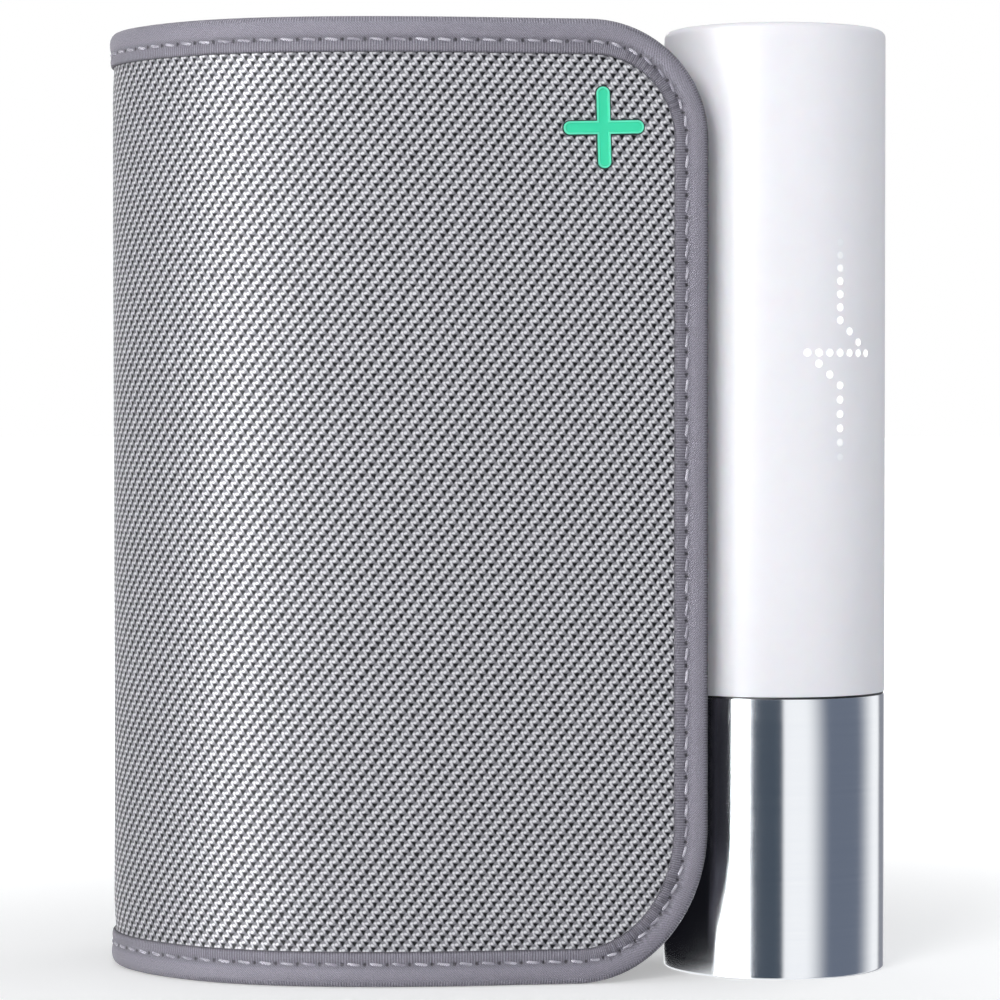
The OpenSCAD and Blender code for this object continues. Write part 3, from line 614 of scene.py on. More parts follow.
def lit_dots():
    """The dots of the trace, flush with the tube."""
    dot = lens_dot()
    copies = []
    for column, up, brightness in lit_dot_places():
        copy = dot.copy()
        copy.data = dot.data.copy()
        bpy.context.collection.objects.link(copy)
        mark(copy, "lit", [brightness] * len(copy.data.vertices))
        turn = math.radians(DISPLAY_AZ + column * COLUMN_STEP)
        copy.matrix_world = (Matrix.Rotation(turn, 4, "Z")
                             @ Matrix.Translation((0, -(TUBE_R - 0.24) * MM, (DISPLAY_Z + up) * MM))
                             @ Matrix.Rotation(math.pi / 2, 4, "X"))
        copies.append(copy)
    bpy.data.objects.remove(dot)
    piece = joined(copies, "lit_dots")
    settle(piece)
    smooth_shading(40)
    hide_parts("light_dots")
    return piece


def green_plus():
    """The raised plus: a square with four arms drawn out of it, rounded, on a flat bed."""
    thick, bed, flange = 0.75, 0.34, 0.22
    span, arm = 13.0 + 2 * flange, 2.1 + 2 * flange
    deselect()
    bpy.ops.mesh.primitive_plane_add(size=arm * MM)
    piece = bpy.context.object
    piece.name = "green_plus"
    reach = (span - arm) / 2
    for x, y in ((1, 0), (-1, 0), (0, 1), (0, -1)):
        side = Vector((x, y, 0)) * arm / 2 * MM
        pick(piece, "EDGE",
             lambda edge: ((edge.verts[0].co + edge.verts[1].co) / 2 - side).length < 0.0001)
        draw_out(x * reach, y * reach, 0)
    pick(piece, "VERT", lambda vert: max(abs(vert.co.x), abs(vert.co.y)) > arm * MM)
    bpy.ops.mesh.bevel(offset=arm / 2 * 0.98 * MM, segments=8, affect="VERTICES")
    bpy.ops.mesh.select_all(action="SELECT")
    bpy.ops.mesh.remove_doubles(threshold=0.00001)
    draw_out(0, 0, bed)
    bpy.ops.mesh.inset(thickness=flange * MM)
    draw_out(0, 0, thick - bed)
    bpy.ops.mesh.select_all(action="SELECT")
    bpy.ops.mesh.normals_make_consistent(inside=False)
    pick(piece, "FACE", lambda face: face.normal.z > 0.9 and face.calc_center_median().z > 0.6 * MM)
    bpy.ops.mesh.inset(thickness=0.28 * MM)
    bpy.ops.mesh.inset(thickness=0.08 * MM)
    bpy.ops.transform.translate(value=(0, 0, -0.14 * MM))
    bpy.ops.object.mode_set(mode="OBJECT")
    faces = piece.data.polygons
    # The lip's top faces, marked for a painted highlight along the plus's raised rim.
    mark(piece, "rim", [float(face.normal.z > 0.9 and face.center.z > (thick - 0.05) * MM)
                        for face in faces], "FACE")
    # The flat bed's faces, marked for a painted shadow round the plus's foot.
    mark(piece, "bed", [float(face.center.z < (bed + 0.02) * MM) for face in faces], "FACE")
    soft_edges(piece, 0.14, 3, 50)
    x, y, heading = on_path(PLUS_S)
    x, y = aside((x, y, heading), FABRIC_O)
    piece.matrix_world = (Matrix.Translation((x * MM, y * MM, (UNIT_H - PLUS_DOWN) * MM))
                          @ Matrix.Rotation(heading, 4, "Z") @ Matrix.Rotation(-math.pi / 2, 4, "X")
                          @ Matrix.Rotation(math.radians(PLUS_LEAN), 4, "Z"))
    settle(piece)
    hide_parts("plus_badge")
    return piece


# ---------------------------------------------------------------- shader nodes
def tint(r, g, b):
    """A screen colour, 0 to 255, as the shader's own."""
    def linear(c):
        c /= 255
        return c / 12.92 if c <= 0.04045 else ((c + 0.055) / 1.055) ** 2.4
    return (linear(r), linear(g), linear(b), 1.0)


def feed(tree, socket, value):
    if isinstance(value, bpy.types.NodeSocket):
        tree.links.new(value, socket)
    else:
        socket.default_value = value


def give(tree, sockets, **values):
    """Sets or links sockets by their names, with _ for a space."""
    for name, value in values.items():
        feed(tree, sockets[name.replace("_", " ")], value)


def put(tree, kind, sockets=None, **settings):
    node = tree.nodes.new("ShaderNode" + kind)
    for key, value in settings.items():
        setattr(node, key, value)
    for key, value in (sockets or {}).items():
        feed(tree, node.inputs[key], value)
    return node


def calc(tree, operation, *values):
    node = put(tree, "Math", operation=operation)
    for socket, value in zip(node.inputs, values):
        feed(tree, socket, value)
    return node.outputs[0]


def plus(tree, a, b):
    return calc(tree, "ADD", a, b)


def minus(tree, a, b):
    return calc(tree, "SUBTRACT", a, b)


def times(tree, a, b):
    return calc(tree, "MULTIPLY", a, b)


def highest(tree, a, b):
    return calc(tree, "MAXIMUM", a, b)


def length_of(tree, x, y):
    return calc(tree, "SQRT", plus(tree, times(tree, x, x), times(tree, y, y)))


def fade(tree, value, low, high, a=0.0, b=1.0):
    """a below low, b above high, and smooth between them."""
    node = put(tree, "MapRange", {"Value": value, "From Min": low, "From Max": high,
                                  "To Min": a, "To Max": b}, interpolation_type="SMOOTHSTEP")
    return node.outputs["Result"]


def between(tree, factor, a, b):
    node = put(tree, "Mix", data_type="RGBA")
    for index, value in ((0, factor), (6, a), (7, b)):
        feed(tree, node.inputs[index], value)
    return node.outputs[2]


def cloudy(tree, place, scale, detail, **more):
    """Noise around one half."""
    return put(tree, "TexNoise", {"Vector": place, "Scale": scale, "Detail": detail, **more}
               ).outputs["Fac"]


def cells(tree, place, scale, **more):
    """The distance to the nearest of many scattered points."""
    return put(tree, "TexVoronoi", {"Vector": place, "Scale": scale, **more}).outputs["Distance"]


def marked(tree, name):
    return put(tree, "Attribute", attribute_name=name).outputs["Fac"]


def split(tree, vector):
    return put(tree, "SeparateXYZ", {0: vector}).outputs


def shifted(tree, operation, a, b):
    return put(tree, "VectorMath", {0: a, 1: b}, operation=operation).outputs[0]


def scaled(tree, vector, scale):
    return put(tree, "VectorMath", {0: vector, "Scale": scale}, operation="SCALE").outputs[0]


def flat_place(tree):
    return put(tree, "UVMap", uv_map="flat").outputs["UV"]


def object_place(tree, scale=1.0):
    return scaled(tree, put(tree, "TexCoord").outputs["Object"], scale)


def group(name, inputs, outputs):
    """A new node group with its named inputs and outputs."""
    tree = bpy.data.node_groups.new(name, "ShaderNodeTree")
    for side, sockets in (("INPUT", inputs), ("OUTPUT", outputs)):
        for label, kind in sockets.items():
            tree.interface.new_socket(label, in_out=side, socket_type="NodeSocket" + kind)
    return tree, tree.nodes.new("NodeGroupInput").outputs, tree.nodes.new("NodeGroupOutput").inputs


def use(tree, inner, **sockets):
    node = tree.nodes.new("ShaderNodeGroup")
    node.node_tree = inner
    give(tree, node.inputs, **sockets)
    return node.outputs


def finish(name, **sockets):
    """A new material and its shader's sockets, with the plain values set."""
    material = bpy.data.materials.new(name)
    material.use_nodes = True
    tree = material.node_tree
    shader = tree.nodes["Principled BSDF"].inputs
    give(tree, shader, **sockets)
    return material, tree, shader


def dye(tree, shader, factor, dark, light):
    """The surface's colour, between two screen colours."""
    give(tree, shader, Base_Color=between(tree, factor, tint(*dark), tint(*light)))


def bump(tree, shader, height, strength, distance):
    node = put(tree, "Bump", {"Height": height, "Strength": strength, "Distance": distance * MM})
    give(tree, shader, Normal=node.outputs["Normal"])


# ---------------------------------------------------------------- shared effects
WEAVE_STEP, WEAVE_ROW, WEAVE_LEAN = 1.926, 0.889, 0.389


def weave_place_group():
    """Where a point lies next to the nearest repeat of a woven detail."""
    tree, given, result = group("weave place",
                                {"Place": "Vector", "Right": "Float", "Down": "Float"},
                                {"X": "Float", "Y": "Float"})
    parts = split(tree, given["Place"])
    across = minus(tree, parts["X"], given["Right"])
    down = minus(tree, times(tree, parts["Y"], -1.0), given["Down"])
    row = calc(tree, "DIVIDE", down, WEAVE_ROW)
    step = plus(tree, calc(tree, "DIVIDE", across, WEAVE_STEP), times(tree, row, WEAVE_LEAN))
    row_off = minus(tree, row, calc(tree, "ROUND", row))
    step_off = minus(tree, step, calc(tree, "ROUND", step))
    lean = times(tree, row_off, WEAVE_LEAN)
    give(tree, result, X=times(tree, minus(tree, step_off, lean), WEAVE_STEP),
         Y=times(tree, row_off, WEAVE_ROW))
    return tree


def spot(tree, place, right, down, wide, high, turn=0.0):
    """A soft oval of the weave: 1 at its middle, 0 outside."""
    at = use(tree, WEAVE_PLACE, Place=place, Right=right, Down=down)
    c, s = math.cos(turn), math.sin(turn)
    x = plus(tree, times(tree, at["X"], c / wide), times(tree, at["Y"], s / wide))
    y = minus(tree, times(tree, at["Y"], c / high), times(tree, at["X"], s / high))
    return fade(tree, length_of(tree, x, y), 0.35, 1.0, 1.0, 0.0)


def woven_group():
    """The outer fabric: rows of crowns, slanting yarns between them and gaps, as masks for a painted
    highlight on the crowns and painted shade in and round the gaps.
    """
    tree, given, result = group("woven fabric", {"Place": "Vector"},
                                {"Gap": "Float", "Shade": "Float", "Crown": "Float",
                                 "Height": "Float"})
    wobble = put(tree, "TexNoise", {"Vector": given["Place"], "Scale": 0.8, "Detail": 2.0})
    shift = shifted(tree, "SUBTRACT", wobble.outputs["Color"], (0.5, 0.5, 0.5))
    place = shifted(tree, "ADD", given["Place"], scaled(tree, shift, 0.42))

    at = use(tree, WEAVE_PLACE, Place=place, Right=0.0, Down=0.0)
    side = plus(tree, times(tree, calc(tree, "ABSOLUTE", at["X"]), 1.10), times(tree, at["Y"], 0.60))
    reach = highest(tree, side, times(tree, at["Y"], -1.0))
    gap = fade(tree, reach, 0.19, 0.38, 1.0, 0.0)

    left = spot(tree, place, 0.40, 0.29, 0.34, 0.30)
    right = spot(tree, place, 0.95, 0.25, 0.42, 0.32)
    yarn = spot(tree, place, 0.54, 0.66, 0.27, 0.60, -0.42)
    crown = highest(tree, highest(tree, left, right), times(tree, yarn, 0.74))
    give(tree, result, Gap=gap, Shade=fade(tree, reach, 0.20, 0.60, 1.0, 0.0), Crown=crown,
         Height=minus(tree, times(tree, crown, 0.6), gap))
    return tree


def grain_group():
    """Fine moulded or spun grain: a height and a mottle around one half."""
    tree, given, result = group("fine grain", {"Place": "Vector", "Scale": "Float"},
                                {"Height": "Float", "Mottle": "Float"})
    give(tree, result, Height=cloudy(tree, given["Place"], given["Scale"], 4.0),
         Mottle=cloudy(tree, given["Place"], times(tree, given["Scale"], 0.04), 3.0))
    return tree


WEAVE_PLACE = weave_place_group()
WOVEN = woven_group()
GRAIN = grain_group()


# ---------------------------------------------------------------- materials
def outer_weave():
    material, tree, shader = finish("outer_weave", Roughness=0.42, Sheen_Weight=0.03,
                                    Sheen_Roughness=0.42, Specular_IOR_Level=0.1,
                                    Coat_Roughness=0.38)
    place = flat_place(tree)
    cloth = use(tree, WOVEN, Place=place)
    thread = cloudy(tree, place, 3.2, 3.0)
    base = between(tree, thread, tint(104, 104, 110), tint(162, 161, 167))
    # The crowns lighter: partly the yarn's own tone, partly a painted highlight on the yarn tops.
    light = between(tree, cloth["Crown"], base, tint(228, 227, 232))
    light = between(tree, times(tree, cloth["Shade"], 0.55), light, tint(46, 46, 51))
    # painted shade in the gaps between the yarns
    give(tree, shader, Base_Color=between(tree, cloth["Gap"], light, tint(5, 5, 7)),
         Coat_Weight=times(tree, cloth["Crown"], 0.8))
    bump(tree, shader, plus(tree, cloth["Height"], times(tree, thread, 0.25)), 0.55, 0.16)
    return material


def tape_weave(tree, place, run, across):
    """The tape's threads: cross ribs at both edges and a fine twill between them."""
    ribs = calc(tree, "SINE", times(tree, run, 2 * math.pi / 0.44))
    slant = calc(tree, "SINE", times(tree, plus(tree, run, across), 2 * math.pi / 0.40))
    twill = fade(tree, calc(tree, "ABSOLUTE", minus(tree, across, 3.9)), 1.1, 1.7, 1.0, 0.0)
    weave = plus(tree, times(tree, ribs, minus(tree, 1.0, twill)),
                 times(tree, times(tree, slant, twill), 0.7))
    threads = cloudy(tree, place, 4.5, 2.0)
    return plus(tree, weave, calc(tree, "MULTIPLY_ADD", threads, 3.2, -1.6))


def tape_creases(tree, run, across):
    """Folds and lines where the tape is turned round a corner, for its bumps and its painted shade.
    """
    def drawn(along, over):
        vector = {"X": times(tree, run, along), "Y": times(tree, across, over)}
        return cloudy(tree, put(tree, "CombineXYZ", vector).outputs[0], 1.0, 2.0)
    fold = times(tree, drawn(1.5, 0.16), fade(tree, across, 2.5, 5.0, 1.0, 0.3))
    line = times(tree, drawn(0.10, 3.4), fade(tree, across, 3.6, 6.0, 0.0, 0.8))
    return times(tree, plus(tree, fold, line), marked(tree, "bend"))


def edge_tape():
    """Ribbed tape, drawn in by the stitches; painted shade at its fold, free end, creases and
    stitches, a painted shadow at its inner edge.
    """
    material, tree, shader = finish("edge_tape", Roughness=0.55, Sheen_Weight=0.05,
                                    Sheen_Roughness=0.45, Specular_IOR_Level=0.26)
    place = flat_place(tree)
    parts = split(tree, place)
    run = parts["X"]
    off = calc(tree, "ABSOLUTE", minus(tree, parts["Y"], TAPE_MIDDLE))
    across = minus(tree, TAPE_MIDDLE, off)
    weave = tape_weave(tree, place, run, across)
    crease = tape_creases(tree, run, across)

    turn = plus(tree, calc(tree, "DIVIDE", run, STITCH_PITCH), 0.5)
    phase = minus(tree, calc(tree, "FRACT", turn), 0.5)
    along = times(tree, calc(tree, "ABSOLUTE", phase), STITCH_PITCH)
    side = minus(tree, across, TAPE_STITCH)
    hole = fade(tree, length_of(tree, along, side), 0.14, 0.42, 1.0, 0.0)
    groove = fade(tree, calc(tree, "ABSOLUTE", side), 0.1, 0.55, 1.0, 0.0)
    pucker = times(tree, groove, fade(tree, along, 0.2, 1.3, 1.0, 0.0))

    # Painted shade along the tape's outer fold, darkest at the flap's free end next to the tube.
    far_end = fade(tree, split(tree, object_place(tree, 1000.0))["X"], -14.5, -11.9)
    wear_and_fold_shade = times(tree, fade(tree, off, 1.6, 3.4, 0.9, 0.0), far_end)
    wear_and_fold_shade = highest(tree, wear_and_fold_shade, fade(tree, off, 0.4, 1.8, 0.5, 0.0))
    # The inner strip's own darker tone, with painted shade in the stitch groove.
    inner_tone_and_groove_shade = highest(tree, fade(tree, across, 2.7, 3.5, 0.30, 0.0), times(tree, groove, 0.35))

    mottle = cloudy(tree, place, 0.9, 4.0)
    colour = between(tree, mottle, tint(97, 94, 105), tint(121, 118, 129))
    for share, shade in (
            (calc(tree, "MULTIPLY_ADD", weave, 0.42, 0.38), (166, 163, 175)),
            (wear_and_fold_shade, (40, 39, 45)),
            # painted shadow along the tape's inner edge, where it lies over the fabric
            (fade(tree, across, 0.3, 0.85, 0.75, 0.0), (40, 39, 45)),
            (inner_tone_and_groove_shade, (60, 58, 66)),
            # painted shade in the corner creases
            (times(tree, fade(tree, crease, 0.40, 0.66), 0.55), (66, 64, 73)),
            # painted shade in the needle holes
            (times(tree, hole, 0.85), (22, 21, 25))):
        colour = between(tree, share, colour, tint(*shade))
    give(tree, shader, Base_Color=colour)
    height = minus(tree, times(tree, weave, 0.5), plus(tree, times(tree, hole, 1.6), pucker))
    bump(tree, shader, minus(tree, height, times(tree, crease, 2.4)), 0.8, 0.09)
    return material


def sewing_thread():
    material, tree, shader = finish("sewing_thread", Roughness=0.5, Sheen_Weight=0.2,
                                    Specular_IOR_Level=0.45)
    place = object_place(tree, 1000.0)
    twist = put(tree, "TexWave", {"Vector": place, "Scale": 2.2, "Distortion": 1.0},
                wave_type="BANDS", bands_direction="DIAGONAL").outputs["Fac"]
    wear_and_fold_shade = fade(tree, cloudy(tree, place, 0.35, 2.0), 0.35, 0.65)
    light = between(tree, wear_and_fold_shade, tint(150, 147, 160), tint(226, 223, 234))
    give(tree, shader, Base_Color=between(tree, fade(tree, twist, 0.1, 0.6),
                                          tint(124, 121, 132), light))
    bump(tree, shader, twist, 0.4, 0.05)
    return material


def lining():
    material, tree, shader = finish("lining", Roughness=0.8, Sheen_Weight=0.3, Sheen_Roughness=0.6)
    place = flat_place(tree)
    knit = cells(tree, place, 1.6)
    grain = use(tree, GRAIN, Place=place, Scale=2.0)
    dye(tree, shader, fade(tree, knit, 0.1, 0.7), (104, 105, 113), (64, 65, 72))
    bump(tree, shader, minus(tree, grain["Height"], knit), 0.5, 0.12)
    return material


def foam():
    material, tree, shader = finish("foam", Roughness=0.95)
    pores = cells(tree, flat_place(tree), 2.4)
    dye(tree, shader, pores, (196, 194, 184), (226, 224, 214))
    bump(tree, shader, pores, 0.6, 0.2)
    return material


def air_film():
    material, tree, shader = finish("air_film", Roughness=0.32, Coat_Weight=0.2)
    crease = cloudy(tree, flat_place(tree), 0.12, 5.0, Distortion=0.6)
    dye(tree, shader, crease, (52, 56, 68), (88, 92, 106))
    bump(tree, shader, crease, 0.5, 0.5)
    return material


def hook_tape():
    material, tree, shader = finish("hook_tape", Roughness=0.55)
    hooks = cells(tree, flat_place(tree), 1.15, Randomness=0.25)
    dye(tree, shader, fade(tree, hooks, 0.15, 0.5), (86, 87, 94), (34, 34, 39))
    bump(tree, shader, times(tree, hooks, -1.0), 0.9, 0.35)
    return material


def loop_pile():
    material, tree, shader = finish("loop_pile", Roughness=0.95, Sheen_Weight=0.5,
                                    Sheen_Roughness=0.5)
    pile = cloudy(tree, flat_place(tree), 1.4, 6.0, Distortion=1.4)
    dye(tree, shader, pile, (92, 92, 98), (150, 150, 156))
    bump(tree, shader, pile, 0.9, 0.4)
    return material


def green_silicone():
    material, tree, shader = finish("green_silicone", Roughness=0.42, Specular_IOR_Level=0.45,
                                    Subsurface_Weight=0.08, Subsurface_Scale=0.002)
    grain = use(tree, GRAIN, Place=object_place(tree), Scale=4000.0)
    green = between(tree, grain["Mottle"], tint(36, 208, 160), tint(52, 222, 172))
    # painted highlight: the rim made lighter, as where its edge catches the light
    green = between(tree, marked(tree, "rim"), green, tint(92, 230, 190))
    # painted shadow: the bed darkened, as the plus's contact shadow on the fabric
    give(tree, shader, Base_Color=between(tree, marked(tree, "bed"), green, tint(26, 48, 44)))
    bump(tree, shader, grain["Height"], 0.15, 0.03)
    return material


def white_satin():
    material, tree, shader = finish("white_satin", Roughness=0.4, Specular_IOR_Level=0.22,
                                    Subsurface_Weight=0.1, Subsurface_Scale=0.002)
    grain = use(tree, GRAIN, Place=object_place(tree), Scale=5200.0)
    dye(tree, shader, grain["Mottle"], (239, 238, 243), (244, 243, 248))
    give(tree, shader, Roughness=calc(tree, "MULTIPLY_ADD", grain["Height"], 0.12, 0.36))
    bump(tree, shader, grain["Height"], 0.08, 0.02)
    return material


def brushed_steel():
    material, tree, shader = finish("brushed_steel", Metallic=1.0, Roughness=0.3, Anisotropic=0.9,
                                    Anisotropic_Rotation=0.25)
    place = object_place(tree)
    lines = put(tree, "Mapping", {"Vector": place, "Scale": (30.0, 30.0, 5200.0)}).outputs[0]
    broad = put(tree, "Mapping", {"Vector": place, "Scale": (8.0, 8.0, 620.0)}).outputs[0]
    brush = cloudy(tree, lines, 1.0, 5.0, Roughness=0.7)
    both = plus(tree, times(tree, brush, 0.7), times(tree, cloudy(tree, broad, 1.0, 3.0), 0.3))
    dye(tree, shader, both, (232, 236, 242), (248, 250, 253))
    bump(tree, shader, brush, 0.04, 0.008)
    around = put(tree, "Tangent", direction_type="RADIAL", axis="Z").outputs[0]
    give(tree, shader, Roughness=calc(tree, "MULTIPLY_ADD", both, 0.16, 0.12), Tangent=around)
    return material


def warm_dot():
    """Milky resin, lit from behind, brightest at the middle of each dot."""
    material, tree, shader = finish("warm_dot", Roughness=0.3, Specular_IOR_Level=0.4,
                                    Emission_Strength=1.0)
    grain = use(tree, GRAIN, Place=object_place(tree), Scale=6000.0)
    dye(tree, shader, grain["Mottle"], (236, 238, 243), (242, 243, 247))
    glow = times(tree, marked(tree, "lit"), fade(tree, marked(tree, "core"), 0.0, 1.0, 0.22, 1.0))
    give(tree, shader, Emission_Color=between(tree, glow, (0, 0, 0, 1), (1.0, 0.99, 0.93, 1)))
    return material


def moulded(name, dark, light, rough=0.45, scale=2400.0, depth=0.03, metal=0.0):
    """A moulded or cast finish with a fine grain and a slight mottle."""
    material, tree, shader = finish(name, Metallic=metal)
    grain = use(tree, GRAIN, Place=object_place(tree), Scale=scale)
    dye(tree, shader, grain["Mottle"], dark, light)
    give(tree, shader, Roughness=calc(tree, "MULTIPLY_ADD", grain["Height"], 0.2, rough - 0.1))
    bump(tree, shader, grain["Height"], 0.2, depth)
    return material


def circuit_board():
    material, tree, shader = finish("circuit_board", Roughness=0.35, Coat_Weight=0.3)
    lines = put(tree, "TexBrick", {"Vector": object_place(tree, 1000.0), "Scale": 0.55,
                                   "Mortar Size": 0.03, "Color1": tint(22, 84, 52),
                                   "Color2": tint(26, 92, 58), "Mortar": tint(48, 128, 84)})
    give(tree, shader, Base_Color=lines.outputs["Color"])
    bump(tree, shader, lines.outputs["Fac"], 0.3, 0.04)
    return material


# ---------------------------------------------------------------- dressing the model
def dress(piece, material, body):
    """Gives a piece its material and the body it rides on; a piece across the fold only gets its
    place put into its mesh.
    """
    piece.data.materials.clear()
    piece.data.materials.append(material)
    if body == "bend":
        x, y, _ = on_path(HINGE_S)
        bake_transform(piece)
    else:
        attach(piece, body)


def build_cuff():
    weave, tape, thread, skin = outer_weave(), edge_tape(), sewing_thread(), lining()
    stuffing = foam()
    fabric, pad, liner = flap_layers()
    dress(fabric, weave, "bend")
    dress(pad, stuffing, "bend")
    dress(liner, skin, "bend")
    flap_rim = rim_line(0)
    flap_edge = binding("flap_tape", flap_rim)
    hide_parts("flap_binding")
    dress(flap_edge, tape, "bend")
    dress(stitches("flap_stitches", flap_rim), thread, "bend")
    hooks = plain_patch("hook_tape", *HOOK_S, SKIN_O, SKIN_O + 0.6)
    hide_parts("hook_pad")
    dress(hooks, hook_tape(), "flap")

    outer, inner = cuff_layers()
    dress(outer, weave, "monitor")
    dress(inner, skin, "monitor")
    tail_rim = rim_line(STRIP_L)
    tail_edge = binding("cuff_tape", tail_rim)
    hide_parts("cuff_binding")
    dress(tail_edge, tape, "monitor")
    dress(stitches("cuff_stitches", tail_rim), thread, "monitor")
    core = cuff_foam()
    dress(core, stuffing, "monitor")
    dress(air_bag(), air_film(), "monitor")
    pile = plain_patch("loop_pile", *LOOP_S, FABRIC_O - 0.32, FABRIC_O)
    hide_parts("loop_pad")
    dress(pile, loop_pile(), "monitor")

    flap_cut, cuff_cut = SEAM_S - INSET, STRIP_L - SEAM_S - INSET
    for piece, length, below in ((fabric, flap_cut, pad), (liner, flap_cut, pad),
                                 (outer, cuff_cut, core), (inner, cuff_cut, core)):
        cloth(piece, length, UNIT_H - 2 * INSET, "stretched", below, end_waste())
    for piece, (first, last), below in ((hooks, HOOK_S, liner), (pile, LOOP_S, outer)):
        cloth(piece, last - first, UNIT_H - 2 * PATCH_EDGE, "stretched", below)
    for piece, outline, below in ((flap_edge, flap_rim, fabric), (tail_edge, tail_rim, outer)):
        cloth(piece, TAPE_W, lengths(outline)[-1], "folded", below)


def end_waste():
    """The area that a layer's two rounded end corners take off its rectangle, in square mm."""
    return sum((a - INSET) * (b - INSET) * (1 - math.pi / 4) for a, b in CORNER.values())


def cloth(piece, length, height, held, on, waste=0.0):
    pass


def build_tube():
    dress(white_shell(), white_satin(), "monitor")
    dress(steel_foot(), brushed_steel(), "monitor")
    dress(dark_ring(), moulded("dark_ring", (26, 26, 30), (36, 36, 41)), "monitor")
    dress(lit_dots(), warm_dot(), "monitor")
    dress(green_plus(), green_silicone(), "flap")


REFINED = {
    "tube_saddle": ("saddle_body", 0.9),
    "saddle_screws": ("saddle_screw_heads", 0.12),
    "top_cap": ("cap_disc", 0.30),
    "power_button": ("push_button", 0.16),
    "sensor_housing": ("sensor_body", 0.35),
    "cuff_electrodes": ("skin_electrodes", 0.20),
}


def refine_nodes():
    """The outer pieces that a hand touches, with their sharp edges eased."""
    pieces = []
    for node, (name, width) in REFINED.items():
        piece = refined(node, name, width)
        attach(piece, "button" if node == "power_button" else "monitor")
        pieces.append(piece)
    return pieces


MOULDED = {
    "white_plastic": ("cap_white", (230, 231, 236), (238, 239, 244), 0.4),
    "button_plastic": ("button_white", (222, 223, 229), (232, 233, 238), 0.35),
    "bright_metal": ("bright_metal", (186, 188, 194), (206, 208, 214), 0.3, 1600.0, 0.02, 1.0),
    "dark_plastic": ("dark_moulding", (52, 53, 58), (66, 67, 72), 0.5),
    "rubber_seal": ("seal_rubber", (28, 28, 30), (40, 40, 43), 0.7),
    "chip": ("chip_epoxy", (22, 22, 24), (32, 32, 35), 0.5, 6000.0),
    "die": ("die", (248, 232, 150), (252, 240, 176), 0.3, 9000.0),
    "copper_film": ("copper_film", (176, 112, 52), (196, 130, 66), 0.35, 900.0),
    "cell_wrap": ("cell_wrap", (44, 92, 150), (56, 106, 166), 0.3, 500.0),
    "brass": ("brass", (190, 150, 70), (208, 170, 88), 0.3, 1600.0, 0.02, 1.0),
    "sensor_white": ("sensor_white", (214, 214, 208), (226, 226, 220), 0.5),
    "membrane": ("membrane", (58, 60, 66), (70, 72, 78), 0.6, 1800.0, 0.05),
}


def finish_nodes(pieces):
    """Finishes for the CAD nodes that stay as they are, and for their refined copies."""
    looks = {slot: moulded(*values) for slot, values in MOULDED.items()}
    looks.update(steel=brushed_steel(), circuit_board=circuit_board())
    for piece in list(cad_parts.values()) + pieces:
        for slot in piece.material_slots:
            name = slot.material.name.split(".")[0] if slot.material else ""
            if name in looks:
                slot.material = looks[name]


# ---------------------------------------------------------------- stage, light, camera
LIGHT_AIM = Vector((-0.03, 0.0, 0.08))
CARD_H = 1.6

LAMPS = (   # name, azimuth, height over the aim, distance, size, power, colour
    ("key", -24, 0.40, 1.1, 0.4, 5.9, (1, 1, 1)),
    ("front", -8, 0.30, 1.2, 0.8, 2.9, (1, 1, 1)),
    ("right", 84, 0.30, 1.1, 0.6, 0.7, (0.90, 0.93, 1.0)),
    ("rear", 134, 0.35, 1.2, 0.7, 3.2, (1, 1, 1)),
    ("back", -164, 0.35, 1.2, 0.7, 1.5, (1, 1, 1)),
    ("top", 0, 1.1, 0.05, 0.8, 1.8, (1, 1, 1)),
)


def seen_white(tree):
    """1 where the camera looks, directly, in a mirror or through glass."""
    path = put(tree, "LightPath").outputs
    seen = highest(tree, path["Is Camera Ray"], path["Is Glossy Ray"])
    return highest(tree, seen, path["Is Transmission Ray"])


def build_world():
    world = bpy.data.worlds.new("studio")
    bpy.context.scene.world = world
    world.use_nodes = True
    tree = world.node_tree
    tree.nodes.clear()
    seen = seen_white(tree)
    side = split(tree, put(tree, "TexCoord").outputs["Generated"])["X"]
    soft = fade(tree, side, -0.95, -0.2, AMBIENT * 0.1, AMBIENT)
    light = put(tree, "Background", {"Color": between(tree, seen, (0.93, 0.96, 1, 1), (1, 1, 1, 1)),
                                     "Strength": highest(tree, seen, soft)})
    put(tree, "OutputWorld", {"Surface": light.outputs[0]})


def bare_material(piece, name):
    """A new material on a stage piece, with nothing in its shader tree."""
    material = bpy.data.materials.new(name)
    material.use_nodes = True
    material.node_tree.nodes.clear()
    piece.data.materials.append(material)
    return material.node_tree


def build_floor():
    """A pale floor that turns into the white background away from the object."""
    deselect()
    bpy.ops.mesh.primitive_circle_add(vertices=64, radius=20, fill_type="NGON")
    floor = bpy.context.object
    floor.name = "floor"
    tree = bare_material(floor, "pale_floor")
    place = put(tree, "TexCoord").outputs["Object"]
    away = put(tree, "VectorMath", {0: place, 1: (-0.05, 0.0, 0.0)}, operation="DISTANCE")
    glow = fade(tree, away.outputs["Value"], 0.06, 0.36, 0.36, 1.0)
    matt = put(tree, "BsdfDiffuse", {"Color": (0.8, 0.8, 0.8, 1)})
    light = put(tree, "Emission", {"Color": (1, 1, 1, 1),
                                   "Strength": times(tree, seen_white(tree), glow)})
    both = put(tree, "AddShader", {0: matt.outputs[0], 1: light.outputs[0]})
    put(tree, "OutputMaterial", {"Surface": both.outputs[0]})
    floor.visible_glossy = False


def around_object(azimuth, distance, height):
    """A place at an azimuth round the object, 0 in front and + to the right."""
    a = math.radians(azimuth)
    return Vector((math.sin(a) * distance, -math.cos(a) * distance, height))


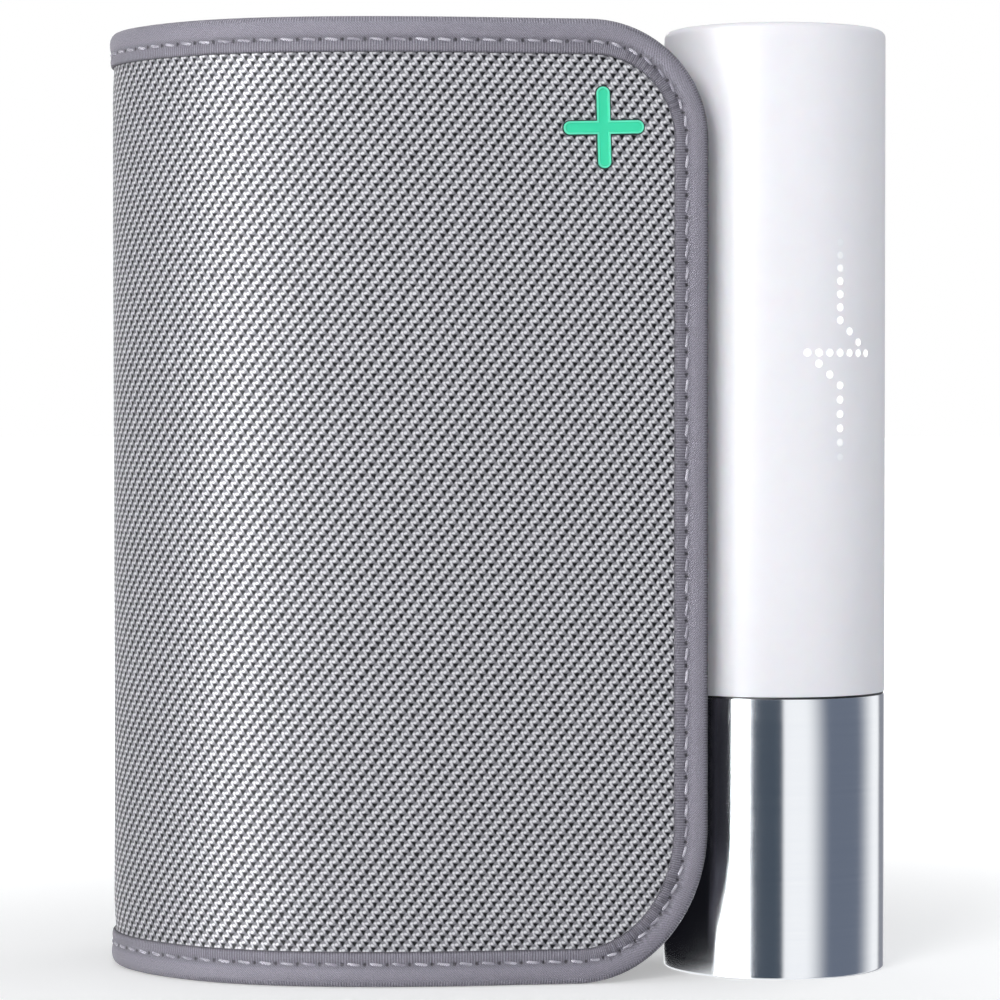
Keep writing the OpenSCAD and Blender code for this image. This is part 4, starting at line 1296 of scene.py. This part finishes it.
def softbox(name, azimuth, height, distance, size, power, colour):
    """An area light that looks at the object and shows in no reflection."""
    light = bpy.data.lights.new(name, "AREA")
    light.shape = "RECTANGLE"
    light.size = light.size_y = size
    light.energy = power
    light.color = colour
    lamp = bpy.data.objects.new(name, light)
    bpy.context.collection.objects.link(lamp)
    lamp.location = LIGHT_AIM + around_object(azimuth, distance, height)
    lamp.rotation_euler = (LIGHT_AIM - lamp.location).to_track_quat("-Z", "Y").to_euler()
    lamp.visible_glossy = False


def only_reflected(card, tree, colour, strength):
    """Lets a card glow, and show in nothing but reflections."""
    glow = put(tree, "Emission", {"Color": colour, "Strength": strength})
    put(tree, "OutputMaterial", {"Surface": glow.outputs[0]})
    card.visible_camera = False
    card.visible_diffuse = False
    card.visible_shadow = False
    card.visible_transmission = False


def reflector(name, low, high, shade, soft_in, soft_out, distance=0.6, strength=1.0):
    """A card from one azimuth to another, soft at its edges."""
    deselect()
    bpy.ops.mesh.primitive_grid_add(x_subdivisions=24, y_subdivisions=1, size=1)
    card = bpy.context.object
    card.name = name
    azimuths = [low + (high - low) * (vert.co.x + 0.5) for vert in card.data.vertices]
    places = card.data.uv_layers.new(name="azimuth")
    for loop in card.data.loops:
        places.data[loop.index].uv = (azimuths[loop.vertex_index], 0)
    for vert, azimuth in zip(card.data.vertices, azimuths):
        vert.co = around_object(azimuth, distance, vert.co.y * CARD_H)
    tree = bare_material(card, name)
    azimuth = split(tree, put(tree, "UVMap", uv_map="azimuth").outputs[0])["X"]
    share = times(tree, fade(tree, azimuth, low - 0.01, low + soft_in),
                  fade(tree, azimuth, high - soft_out, high + 0.01, 1.0, 0.0))
    first = calc(tree, "LESS_THAN", put(tree, "LightPath").outputs["Diffuse Depth"], 0.5)
    only_reflected(card, tree, between(tree, share, (1, 1, 1, 1), tint(*shade)),
                   fade(tree, first, 0.0, 1.0, min(strength, 1.0), strength))


def cuff_shade():
    """The dark space between the cuff's side and the steel, as the steel mirrors it."""
    deselect()
    bpy.ops.mesh.primitive_plane_add(size=1, location=(-0.0235, 0.008, 0.024))
    card = bpy.context.object
    card.name = "cuff_shade"
    card.rotation_euler = (0, math.radians(90), 0)
    card.scale = (0.052, 0.058, 1)
    only_reflected(card, bare_material(card, "cuff_shade"), tint(18, 18, 22), 1.0)


def build_light():
    for lamp in LAMPS:
        softbox(*lamp)
    cuff_shade()
    reflector("front_flag", -31, 7, (68, 78, 90), 6, 3)
    reflector("right_flag", 28, 126, (106, 114, 129), 30, 36)
    reflector("rear_flag", 132, 168, (140, 142, 150), 8, 14)
    reflector("sheen_card", -66, -34, (255, 255, 255), 16, 5, 0.8, 22.0)


def build_camera():
    camera = bpy.data.cameras.new("camera")
    camera.lens = 137.4
    camera.sensor_width = 36
    holder = bpy.data.objects.new("camera", camera)
    bpy.context.collection.objects.link(holder)
    holder.location = (-0.0456, -0.6348, 0.0906)
    holder.rotation_euler = (math.radians(90 - 1.19), 0, 0)
    bpy.context.scene.camera = holder


bpy.context.scene.view_settings.view_transform = "Standard"
build_camera()
build_world()
build_light()
build_floor()
build_tube()
build_cuff()
finish_nodes(refine_nodes())
